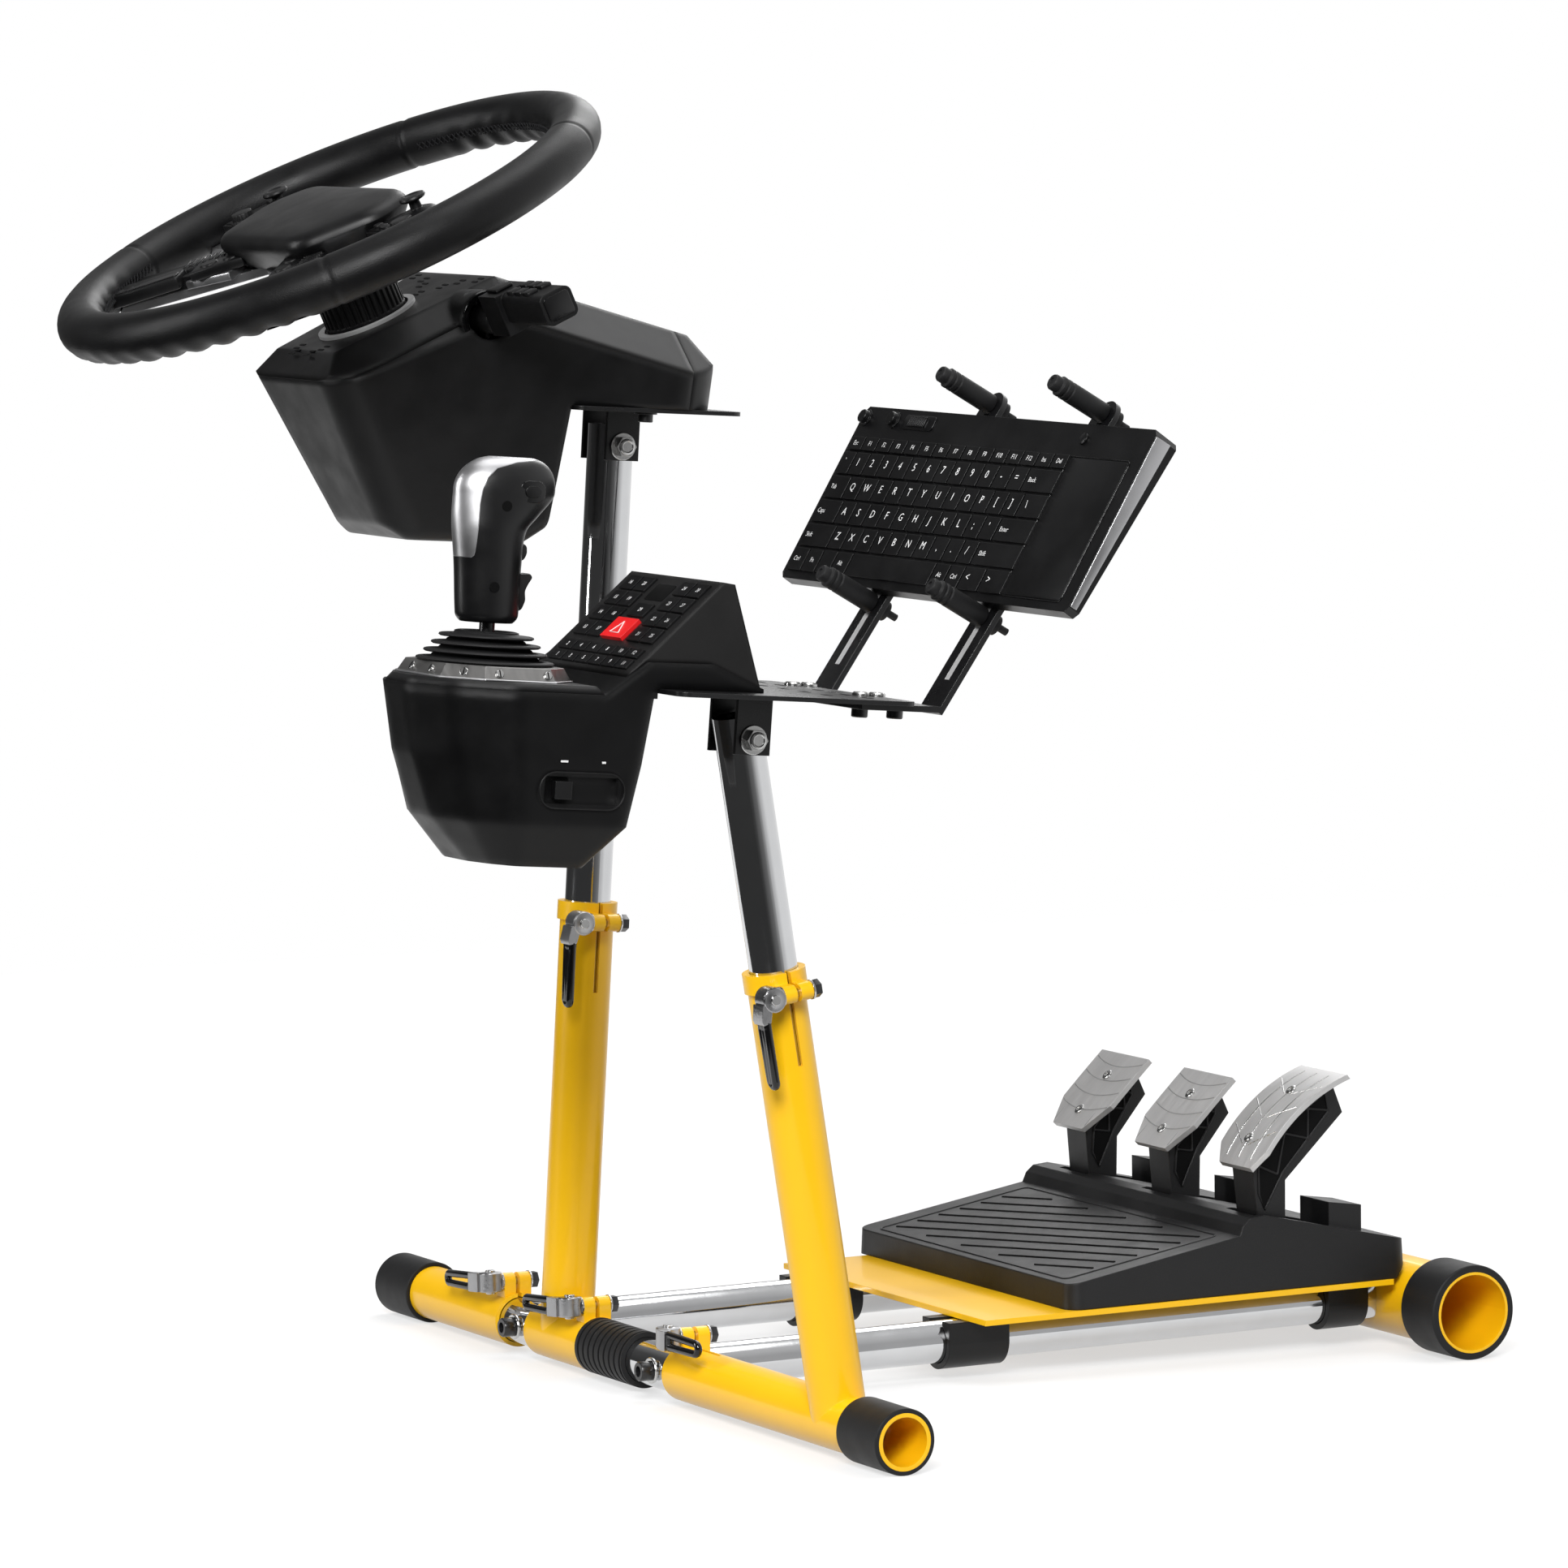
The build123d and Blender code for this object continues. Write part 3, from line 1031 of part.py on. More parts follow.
clip_inner = RAIL_OUTER + 2 * CLIP_CLEARANCE
clip_outer = clip_inner + 2 * CLIP_WALL
plate_under = PLATE_TOP - PLATE_THICKNESS
with BuildPart() as clips:
    for x in (RAIL_LEFT_X - RAIL_CENTRE_X, RAIL_RIGHT_X - RAIL_CENTRE_X):
        for start, end in (CLIP_FRONT, CLIP_BACK):
            clip = local(RAILS, x=x, y=start, turn=(-90, 0, 0))
            rod(clip, 0, end - start, clip_outer)
            block(RAILS, (x, (start + end) / 2, plate_under / 2), (clip_outer, end - start, plate_under))
    for x in (RAIL_LEFT_X - RAIL_CENTRE_X, RAIL_RIGHT_X - RAIL_CENTRE_X):
        rod(local(RAILS, x=x, turn=(-90, 0, 0)), 0, REAR_AXIS_Y, clip_inner, Mode.SUBTRACT)
        block(RAILS, (x, REAR_AXIS_Y / 2, RAIL_OUTER / 2), (CLIP_OPENING, REAR_AXIS_Y, RAIL_OUTER),
              Mode.SUBTRACT)
    block(RAILS, (0, REAR_AXIS_Y / 2, plate_under + 50), (2 * PLATE_WIDTH, REAR_AXIS_Y, 100), Mode.SUBTRACT)
save(clips, "rail_clips")

PEDAL_SIDE = [
    (PEDAL_FRONT - 20, 0.0), (PEDAL_FRONT - 20, PEDAL_FRONT_HEIGHT), (PEDAL_FRONT, PEDAL_FRONT_HEIGHT),
    PEDAL_STEP_LOW, (PEDAL_STEP_LOW[0] + 3, PEDAL_STEP_HIGH[1] - 5), PEDAL_STEP_HIGH,
    (PEDAL_STEP_HIGH[0] + 12, PEDAL_STEP_HIGH[1] + 1), (PEDAL_BACK, PEDAL_BACK_HEIGHT), (PEDAL_BACK, 0.0),
]
with BuildPart() as pedal_base:
    with BuildSketch(PEDALS) as foot:
        with Locations(((PEDAL_LEFT + PEDAL_RIGHT) / 2, (PEDAL_FRONT + PEDAL_BACK) / 2)):
            RectangleRounded(PEDAL_RIGHT - PEDAL_LEFT, PEDAL_BACK - PEDAL_FRONT, PEDAL_CORNER)
    extrude(foot.sketch, amount=2 * PEDAL_BUMP_HEIGHT, taper=PEDAL_DRAFT)
    profile(PEDALS, PEDAL_SIDE, 2 * PEDAL_LEFT, 2 * PEDAL_RIGHT, Mode.INTERSECT)
    cut_x(REAR, 2 * PEDAL_LEFT, 2 * PEDAL_RIGHT, REAR_TUBE_OUTER + 2 * REAR_TUBE_CLEARANCE)
    for i in (-1, 0, 1):
        x = i * PEDAL_SPACING
        reach = PEDAL_ARM_WIDTH / 2 + PEDAL_SLOT_SIDE
        bump = [(PEDAL_STEP_HIGH[0] + 20, 10.0), (PEDAL_SLOT_END, PEDAL_BUMP_HEIGHT),
                (PEDAL_BUMP_END, PEDAL_BUMP_HEIGHT - 4), (PEDAL_BUMP_END, 10.0)]
        profile(PEDALS, bump, x - reach, x + reach)
        block(PEDALS, (x, (PEDAL_SLOT_START + PEDAL_SLOT_END) / 2, PEDAL_SLOT_FLOOR + 50),
              (2 * reach, PEDAL_SLOT_END - PEDAL_SLOT_START, 100), Mode.SUBTRACT)
        seat = reach + PEDAL_PIN_SEAT
        cut_x(local(PEDALS, y=PEDAL_AXIS[0], z=PEDAL_AXIS[1]), x - seat, x + seat,
              PEDAL_PIN + 2 * RUNNING_CLEARANCE)
save(pedal_base, "pedal_base")


def pedal(x, low, high, width, bow, cut):
    """A pedal's arm and its pad. The pad runs from low to high in the pedals' Y and Z,
    and its lower corners are cut off by the cut's width and length."""
    along = (high[0] - low[0], high[1] - low[1])
    length = sqrt(along[0] ** 2 + along[1] ** 2)
    along = (along[0] / length, along[1] / length)
    out = (-along[1], along[0])

    def at(t, n):
        return (low[0] + along[0] * t + out[0] * n, low[1] + along[1] * t + out[1] * n)

    with BuildPart() as pad:
        with BuildSketch(side(PEDALS, x - width / 2)):
            with BuildLine():
                ThreePointArc(at(0, 0), at(length / 2, bow + 0.5), at(length, 0))
                Line(at(length, 0), at(length, -PAD_THICKNESS))
                ThreePointArc(at(length, -PAD_THICKNESS), at(length / 2, bow + 0.5 - PAD_THICKNESS),
                              at(0, -PAD_THICKNESS))
                Line(at(0, -PAD_THICKNESS), at(0, 0))
            make_face()
        extrude(amount=width)
        pad_plane = local(PEDALS, x=x, y=low[0], z=low[1], turn=(degrees(asin(along[1])), 0, 0))
        for sign in (-1, 1):
            corner = [(sign * width / 2, 0), (sign * (width / 2 - cut[0]), 0), (sign * width / 2, cut[1])]
            with BuildSketch(pad_plane) as lower_corner:
                with BuildLine():
                    Polyline(*corner, close=True)
                make_face()
            extrude(lower_corner.sketch, amount=width, both=True, mode=Mode.SUBTRACT)
    with BuildPart() as arm:
        back = -PAD_THICKNESS - SEAT_GAP
        steps = [6 + (length - 12) * i / 8 for i in range(9)]
        under_pad = [at(t, back + 4 * (bow + 0.5) * t / length * (1 - t / length)) for t in steps]
        profile(PEDALS, [*under_pad, at(length - 14, back - 22), at(18, back - 26),
                         (PEDAL_AXIS[0] + 8, PEDAL_AXIS[1] + 10), (PEDAL_AXIS[0] - 10, PEDAL_AXIS[1] + 2),
                         (PEDAL_AXIS[0] - 15, PEDAL_AXIS[1] + 26)],
                x - PEDAL_ARM_WIDTH / 2, x + PEDAL_ARM_WIDTH / 2)
        hub = local(PEDALS, y=PEDAL_AXIS[0], z=PEDAL_AXIS[1])
        bar_x(hub, x - PEDAL_ARM_WIDTH / 2, x + PEDAL_ARM_WIDTH / 2, PEDAL_HUB)
        pin_reach = PEDAL_ARM_WIDTH / 2 + PEDAL_SLOT_SIDE + PEDAL_PIN_SEAT - SEAT_GAP
        bar_x(hub, x - pin_reach, x + pin_reach, PEDAL_PIN)
    return arm, pad


PEDAL_FORMS = {
    "clutch": (-1, PAD_HIGH, PAD_WIDTH, 0.0, PAD_CHAMFER),
    "brake": (0, PAD_HIGH, PAD_WIDTH, 0.0, PAD_CHAMFER),
    "throttle": (1, THROTTLE_HIGH, THROTTLE_WIDTH, THROTTLE_BOW, THROTTLE_CHAMFER),
}
for name, (place, *form) in PEDAL_FORMS.items():
    arm, pad = pedal(place * PEDAL_SPACING, PAD_LOW, *form)
    save(arm, f"{name}_arm")
    save(pad, f"{name}_pad")
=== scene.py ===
import bmesh
import bpy
from math import atan2, cos, degrees, pi, radians, sin
from mathutils import Matrix, Vector


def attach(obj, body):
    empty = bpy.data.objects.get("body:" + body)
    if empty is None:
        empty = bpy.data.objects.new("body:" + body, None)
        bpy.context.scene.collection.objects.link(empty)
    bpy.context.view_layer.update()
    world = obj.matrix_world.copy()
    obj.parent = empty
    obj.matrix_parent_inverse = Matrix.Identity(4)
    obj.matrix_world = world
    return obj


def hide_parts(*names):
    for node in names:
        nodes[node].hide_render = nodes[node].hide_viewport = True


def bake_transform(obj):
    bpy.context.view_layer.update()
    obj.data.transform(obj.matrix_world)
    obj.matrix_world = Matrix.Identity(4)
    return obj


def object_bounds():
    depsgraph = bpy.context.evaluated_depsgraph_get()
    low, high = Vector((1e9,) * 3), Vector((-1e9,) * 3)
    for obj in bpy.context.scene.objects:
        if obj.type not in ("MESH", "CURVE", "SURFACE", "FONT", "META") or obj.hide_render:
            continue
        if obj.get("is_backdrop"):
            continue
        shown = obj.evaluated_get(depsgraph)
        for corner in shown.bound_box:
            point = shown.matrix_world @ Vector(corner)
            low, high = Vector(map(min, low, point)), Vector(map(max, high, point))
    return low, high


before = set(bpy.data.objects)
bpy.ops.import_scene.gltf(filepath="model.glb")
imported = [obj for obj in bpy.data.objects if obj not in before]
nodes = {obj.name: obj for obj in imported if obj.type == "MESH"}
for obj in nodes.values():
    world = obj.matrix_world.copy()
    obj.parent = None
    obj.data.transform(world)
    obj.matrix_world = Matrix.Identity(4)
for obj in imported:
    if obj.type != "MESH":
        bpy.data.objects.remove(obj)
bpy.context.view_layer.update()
scene = bpy.context.scene


def move(x=0.0, y=0.0, z=0.0):
    return Matrix.Translation((x, y, z))


def turn(axis, angle):
    return Matrix.Rotation(radians(angle), 4, axis)


# Frames of the stand, in metres, the same as in the part's source
MAST_X = -0.16175
FRONT_Y = -0.127555
FRONT = move(MAST_X, FRONT_Y, 0.0222)
MAST = FRONT @ turn("X", -2.98)
LEG = FRONT @ move(x=0.407) @ turn("X", 9.61)
WHEEL_BOLT = MAST @ move(z=0.627)
WHEEL_DECK = MAST @ move(z=0.6557)
WHEEL_LEAN = 27.4
WHEEL = WHEEL_DECK @ move(y=-0.2236, z=0.1142) @ turn("X", WHEEL_LEAN)
STALK = WHEEL_DECK @ move(0.074, -0.141, 0.0565) @ turn("X", WHEEL_LEAN)
SHIFTER_BOLT = LEG @ move(z=0.462)
SHIFTER = SHIFTER_BOLT @ turn("X", -13.61)
SHIFTER_TOP = SHIFTER @ move(z=0.0266)
LEVER = SHIFTER_TOP @ move(y=-0.187)
PANEL = SHIFTER_TOP @ move(y=-0.118, z=0.01273) @ turn("X", 44.22)
HOLDER = SHIFTER_TOP @ move(y=0.099, z=0.0035) @ turn("X", -30.5)
KEYBOARD = HOLDER @ move(-0.00675, -0.0085, 0.0748) @ turn("X", 94.2)
RAILS = FRONT @ move(x=0.0581) @ turn("X", 1.1507)
PEDALS = RAILS @ move(z=0.0194)
FOOT_REST = PEDALS @ move(y=0.291, z=0.018) @ turn("X", degrees(atan2(23.0, 140.0)))
LEFT_CLAMP = FRONT @ move(x=-0.084)
MAST_FOOT_CLAMP = FRONT @ move(x=0.043)
LEG_FOOT_CLAMP = FRONT @ move(x=0.194)
POST_CLAMP_Z = 0.294
MAST_CLAMP = MAST @ move(z=POST_CLAMP_Z) @ turn("Y", 90)
LEG_CLAMP = LEG @ move(z=POST_CLAMP_Z) @ turn("Y", 90)

# Puts a flat outline's X and Y on Y and Z, with its thickness along X
SIDEWAYS = Matrix(((0, 0, 1, 0), (1, 0, 0, 0), (0, 1, 0, 0), (0, 0, 0, 1)))

# Materials
CLOUD_SCALE = 38.0
CLOUD_LOW, CLOUD_HIGH = 0.3, 0.7
GRAIN_DEPTH = 0.0003


def map_range(tree, value, low=0.0, high=1.0, to_low=0.0, to_high=1.0):
    node = tree.nodes.new("ShaderNodeMapRange")
    node.inputs["From Min"].default_value = low
    node.inputs["From Max"].default_value = high
    node.inputs["To Min"].default_value = to_low
    node.inputs["To Max"].default_value = to_high
    tree.links.new(value, node.inputs["Value"])
    return node.outputs["Result"]


def color_ramp(tree, value, low, low_color, high, high_color):
    node = tree.nodes.new("ShaderNodeValToRGB")
    for element, position, color in zip(node.color_ramp.elements, (low, high), (low_color, high_color)):
        element.position = position
        element.color = (*color, 1)
    tree.links.new(value, node.inputs["Fac"])
    return node.outputs["Color"]


def surface(name, color, rough, metal=0.0, specular=0.5, coat=0.0, vary=0.12, rough_vary=0.06,
            grain=0.0, scale=900.0, edge=0.0, stretch=(1, 1, 1), cells=False):
    """A finish with cloudy colour and roughness, fine grain as bump, and softened edges."""
    m = bpy.data.materials.new(name)
    m.use_nodes = True
    tree = m.node_tree
    bsdf = tree.nodes["Principled BSDF"]
    bsdf.inputs["Metallic"].default_value = metal
    bsdf.inputs["Specular IOR Level"].default_value = specular
    bsdf.inputs["Coat Weight"].default_value = coat
    bsdf.inputs["Coat Roughness"].default_value = 0.07
    coords = tree.nodes.new("ShaderNodeTexCoord")
    mapping = tree.nodes.new("ShaderNodeMapping")
    mapping.inputs["Scale"].default_value = stretch
    tree.links.new(coords.outputs["Object"], mapping.inputs["Vector"])
    clouds = tree.nodes.new("ShaderNodeTexNoise")
    clouds.inputs["Scale"].default_value = CLOUD_SCALE
    clouds.inputs["Detail"].default_value = 4.0
    tree.links.new(mapping.outputs["Vector"], clouds.inputs["Vector"])
    shades = [[c * share for c in color] for share in (1 - vary, 1 + vary)]
    tree.links.new(color_ramp(tree, clouds.outputs["Fac"], CLOUD_LOW, shades[0], CLOUD_HIGH, shades[1]),
                   bsdf.inputs["Base Color"])
    tree.links.new(map_range(tree, clouds.outputs["Fac"], CLOUD_LOW, CLOUD_HIGH,
                             rough - rough_vary, rough + rough_vary), bsdf.inputs["Roughness"])
    normal = None
    if edge:
        soft = tree.nodes.new("ShaderNodeBevel")
        soft.samples = 6
        soft.inputs["Radius"].default_value = edge
        normal = soft.outputs["Normal"]
    if grain:
        if cells:
            fine = tree.nodes.new("ShaderNodeTexVoronoi")
            height = fine.outputs["Distance"]
        else:
            fine = tree.nodes.new("ShaderNodeTexNoise")
            fine.inputs["Detail"].default_value = 2.0
            height = fine.outputs["Fac"]
        fine.inputs["Scale"].default_value = scale
        tree.links.new(mapping.outputs["Vector"], fine.inputs["Vector"])
        bump = tree.nodes.new("ShaderNodeBump")
        bump.inputs["Strength"].default_value = grain
        bump.inputs["Distance"].default_value = GRAIN_DEPTH
        tree.links.new(height, bump.inputs["Height"])
        if normal:
            tree.links.new(normal, bump.inputs["Normal"])
        normal = bump.outputs["Normal"]
    if normal:
        tree.links.new(normal, bsdf.inputs["Normal"])
    return m


YELLOW = surface("yellow_coat", (0.93, 0.52, 0.004), 0.34, specular=0.3, coat=0.25, vary=0.012,
                 rough_vary=0.012, grain=0.04, scale=300, edge=0.0006)
CHROME = surface("chrome", (0.60, 0.605, 0.615), 0.08, metal=1.0, vary=0.03, rough_vary=0.02,
                 grain=0.02, scale=500)
RUBBER = surface("black_rubber", (0.0065, 0.0065, 0.0070), 0.60, specular=0.3, grain=0.25, scale=1100,
                 edge=0.0008)
BASE = surface("base_plastic", (0.0030, 0.0030, 0.0033), 0.40, specular=0.30, grain=0.12, scale=1500,
               edge=0.006)
BODY = surface("body_plastic", (0.0022, 0.0022, 0.0024), 0.40, specular=0.19, grain=0.12, scale=1500,
               edge=0.010)
PLASTIC = surface("black_plastic", (0.0032, 0.0032, 0.0035), 0.42, specular=0.30, grain=0.16, scale=1500,
                  edge=0.0012)
PEDAL_PLASTIC = surface("pedal_plastic", (0.0060, 0.0060, 0.0065), 0.46, specular=0.35, grain=0.3,
                        scale=1100, edge=0.0018)
COAT = surface("black_coat", (0.0045, 0.0045, 0.0050), 0.30, specular=0.45, grain=0.15, scale=1700,
               edge=0.0007)
PAD_METAL = surface("pad_metal", (0.56, 0.555, 0.555), 0.46, metal=0.6, vary=0.05, grain=0.12, scale=260,
                    edge=0.0006, stretch=(9, 1, 1))
SILVER = surface("satin_metal", (0.47, 0.47, 0.48), 0.38, metal=1.0, vary=0.04, grain=0.06, scale=900,
                 edge=0.0008)
GUNMETAL = surface("dark_metal", (0.30, 0.295, 0.29), 0.34, metal=1.0, vary=0.06, grain=0.08, scale=500,
                   edge=0.0008, stretch=(1, 6, 1))
ZINC = surface("zinc_steel", (0.50, 0.50, 0.495), 0.24, metal=1.0, vary=0.08, grain=0.08, scale=700,
               edge=0.0004)
LEATHER = surface("wheel_leather", (0.0034, 0.0034, 0.0037), 0.42, specular=0.22, grain=0.3, scale=1300,
                  cells=True)
# Grey of the column ring, also used as painted highlight on the keyboard holder's slot walls
GREY = surface("grey_plastic", (0.42, 0.42, 0.42), 0.4, grain=0.1, edge=0.0004)
CAST = surface("cast_metal", (0.36, 0.36, 0.365), 0.30, metal=1.0, grain=0.35, scale=420, edge=0.0006)
CONSOLE = surface("console_plastic", (0.0085, 0.0083, 0.0084), 0.46, specular=0.30, grain=0.2, scale=1500,
                  edge=0.004)
# Painted shade: a darker grey for the grooves on the flat pedal pads
GROOVE_SHADE = surface("painted_groove_shade", (0.30, 0.30, 0.30), 0.45, metal=0.6, grain=0.1)
GRIP = surface("grip_plastic", (0.0034, 0.0034, 0.0038), 0.33, specular=0.38, grain=0.08, scale=1700)
GLOSS = surface("gloss_black", (0.003, 0.003, 0.0033), 0.14, specular=0.45, vary=0.1, rough_vary=0.03,
                edge=0.0008)
KEYS = surface("key_plastic", (0.0032, 0.0032, 0.0035), 0.36, specular=0.34, grain=0.1, scale=1900,
               edge=0.0006)
RED = surface("red_plastic", (0.62, 0.008, 0.010), 0.38, vary=0.05, grain=0.08, scale=1600, edge=0.0008)
WHITE = surface("white_print", (0.75, 0.75, 0.75), 0.5, vary=0.04)
THREAD = surface("thread", (0.010, 0.010, 0.011), 0.7, specular=0.2, grain=0.3, scale=2500)
# Painted shade: a near-black colour laid where holes, slots, grooves and pockets would be in shade
RECESS_SHADE = surface("painted_recess_shade", (0.0015, 0.0015, 0.0016), 0.6, specular=0.1)
STEEL = surface("black_steel", (0.010, 0.010, 0.011), 0.28, grain=0.1, scale=900, edge=0.0004)

# Finishes of the CAD nodes; the rest are black plastic
BY_NODE = {
    YELLOW: "left_foot_sleeve mast_tube side_leg_tube pedal_plate rear_tube",
    CHROME: "front_cross_tube rail_left rail_right mast_post side_leg_post",
    RUBBER: "rear_cap_left rear_cap_right grip_sleeve left_foot_cap side_leg_cap lever_boot holder_pegs",
    BASE: "wheel_base_shell wheel_base_cover wheel_base_rear_cap shifter_top_plate",
    CONSOLE: "shifter_console",
    BODY: "shifter_box",
    PEDAL_PLASTIC: "pedal_base clutch_arm brake_arm throttle_arm",
    COAT: "wheel_deck shifter_deck keyboard_holder",
    PAD_METAL: "clutch_pad brake_pad throttle_pad",
    SILVER: "wheel_spokes lever_spine",
    GUNMETAL: "shifter_trim",
    ZINC: "wheel_deck_bolt shifter_deck_bolt lever_gimbal",
    LEATHER: "wheel_rim",
    GREY: "column_ring",
    RED: "hazard_button",
    KEYS: "keyboard_keys console_keys keyboard_case",
    GLOSS: "mast_lever side_leg_lever left_foot_lever mast_foot_lever side_leg_foot_lever",
}
for node in nodes.values():
    node.data.materials.clear()
    node.data.materials.append(PLASTIC)
for mat, names in BY_NODE.items():
    for name in names.split():
        nodes[name].data.materials[0] = mat


class Form:
    """A mesh piece put together from shapes, in millimetres in one frame."""

    def __init__(self, place):
        self.bm = bmesh.new()
        self.place = place @ Matrix.Scale(0.001, 4)

    def take(self, shape, at=None):
        bmesh.ops.recalc_face_normals(shape, faces=shape.faces)
        if at is not None:
            shape.transform(at)
        mesh = bpy.data.meshes.new("shape")
        shape.to_mesh(mesh)
        shape.free()
        self.bm.from_mesh(mesh)
        bpy.data.meshes.remove(mesh)

    def block(self, centre, size, bevel=0.5, segments=2, at=None):
        shape = bmesh.new()
        bmesh.ops.create_cube(shape, size=1.0)
        shape.transform(Matrix.Diagonal((*size, 1)))
        if bevel:
            bmesh.ops.bevel(shape, geom=shape.edges[:], offset=min(bevel, min(size) * 0.49),
                            segments=segments, profile=0.5, affect="EDGES")
        shape.transform(Matrix.Translation(centre))
        self.take(shape, at)

    def lathe(self, profile, at=None, steps=32):
        """A profile of radius and height turned about Z."""
        shape = bmesh.new()
        rings = []
        for r, z in profile:
            angles = [2 * pi * i / steps for i in range(1 if r < 1e-4 else steps)]
            rings.append([shape.verts.new((r * cos(a), r * sin(a), z)) for a in angles])
        for low, high in zip(rings, rings[1:]):
            for i in range(steps):
                j = (i + 1) % steps
                corners = [low[i % len(low)], low[j % len(low)], high[j % len(high)], high[i % len(high)]]
                corners = list(dict.fromkeys(corners))
                if len(corners) > 2:
                    shape.faces.new(corners)
        self.take(shape, at)

    def prism(self, outline, low, high, bevel=0.0, at=None):
        """A flat outline given thickness along Z, with its upper rim rounded."""
        shape = bmesh.new()
        bottom = [shape.verts.new((x, y, low)) for x, y in outline]
        top = [shape.verts.new((x, y, high)) for x, y in outline]
        shape.faces.new(bottom)
        shape.faces.new(top)
        for i in range(len(outline)):
            j = (i + 1) % len(outline)
            shape.faces.new((bottom[i], bottom[j], top[j], top[i]))
        if bevel:
            rim = [e for e in shape.edges if all(abs(v.co.z - high) < 1e-5 for v in e.verts)]
            bmesh.ops.recalc_face_normals(shape, faces=shape.faces)
            bmesh.ops.bevel(shape, geom=rim, offset=bevel, segments=2, profile=0.5, affect="EDGES")
        self.take(shape, at)

    def loft(self, rings, closed=False):
        """A skin through rings of points, capped at both ends or joined into a loop."""
        shape = bmesh.new()
        rings = [[shape.verts.new(point) for point in ring] for ring in rings]
        pairs = list(zip(rings, rings[1:]))
        if closed:
            pairs.append((rings[-1], rings[0]))
        for low, high in pairs:
            for k in range(len(low)):
                j = (k + 1) % len(low)
                shape.faces.new((low[k], low[j], high[j], high[k]))
        if not closed:
            shape.faces.new(rings[0])
            shape.faces.new(rings[-1])
        self.take(shape)

    def tube(self, path, radius, steps=8, closed=False):
        """A round bar along a path."""
        points = [Vector(p) for p in path]
        angles = [2 * pi * k / steps for k in range(steps)]
        rings = []
        side = None
        for i, p in enumerate(points):
            before = points[i - 1] if i or closed else p
            after = points[(i + 1) % len(points)] if i + 1 < len(points) or closed else p
            along = (after - before).normalized()
            if side is None:
                side = along.orthogonal().normalized()
            side = (side - along * side.dot(along)).normalized()
            across = along.cross(side)
            rings.append([p + radius * (side * cos(a) + across * sin(a)) for a in angles])
        self.loft(rings, closed)

    def letters(self, text, size, centre):
        curve = bpy.data.curves.new("letters", "FONT")
        curve.body = text
        curve.size = size
        curve.align_x = "CENTER"
        curve.align_y = "CENTER"
        curve.resolution_u = 2
        holder = bpy.data.objects.new("letters", curve)
        mesh = bpy.data.meshes.new_from_object(holder)
        mesh.transform(Matrix.Translation(centre))
        self.bm.from_mesh(mesh)
        bpy.data.objects.remove(holder)
        bpy.data.curves.remove(curve)
        bpy.data.meshes.remove(mesh)

    def mesh(self, name):
        mesh = bpy.data.meshes.new(name)
        self.bm.to_mesh(mesh)
        self.bm.free()
        mesh.transform(self.place)
        return mesh

    def done(self, name, body, mat, smooth=38):
        mesh = self.mesh(name)
        mesh.materials.append(mat)
        for polygon in mesh.polygons:
            polygon.use_smooth = True
        mesh.set_sharp_from_angle(angle=radians(smooth))
        piece = bpy.data.objects.new(name, mesh)
        scene.collection.objects.link(piece)
        if body:
            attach(piece, body)
        return piece


def hexagon(across):
    r = across / 2 / cos(pi / 6)
    return [(r * cos(pi / 3 * i), r * sin(pi / 3 * i)) for i in range(6)]


def rounded(width, height, r, cx=0.0, cy=0.0, steps=5):
    """Outline of a rectangle with round corners."""
    points = []
    for k, (sx, sy) in enumerate(((1, 1), (-1, 1), (-1, -1), (1, -1))):
        for i in range(steps + 1):
            a = pi / 2 * (k + i / steps)
            points.append((cx + sx * (width / 2 - r) + r * cos(a), cy + sy * (height / 2 - r) + r * sin(a)))
    return points


def soft_corners(points, r, steps=6):
    """A polygon whose corners are rounded by curves."""
    made = []
    for k, corner in enumerate(points):
        here = Vector(corner)
        a = here + (Vector(points[k - 1]) - here).normalized() * r
        b = here + (Vector(points[(k + 1) % len(points)]) - here).normalized() * r
        for i in range(steps + 1):
            t = i / steps
            made.append(tuple((1 - t) ** 2 * a + 2 * t * (1 - t) * here + t * t * b))
    return made


def side_name(s):
    return "right" if s > 0 else "left"


# Steering wheel rim: leather tube with finger waves behind, grooves at its seams and cross stitches
RIM_RADIUS = 182.0
RIM_THICKNESS = 17.5
RIM_SECTIONS = 720
RIM_STEPS = 32
SEAMS = (133.0, 47.0, -26.0, -154.0)
SEAM_DEPTHS = ((0.3, 0.7), (0.6, 0.35))
WAVED = ((-88, 62, 10), (90, 34, 8))
WAVE_PITCH = 22.0
WAVE_DEPTH = 2.4
STITCHED = ((49, 131), (-152, -28))
STITCH_STEP = 1.5
STITCH_HALF_LENGTH = 0.55
STITCH_HALF_SPREAD = 8
STITCH_PROUD = 0.25
STITCH_RADIUS = 0.45


def limited(value):
    """A value kept between 0 and 1."""
    return max(0.0, min(1.0, value))


def on_rim(angle, turned, r):
    """A point at an angle around the wheel and an angle around the rim's section."""
    reach = RIM_RADIUS + r * cos(turned)
    return reach * cos(angle), reach * sin(angle), r * sin(turned)


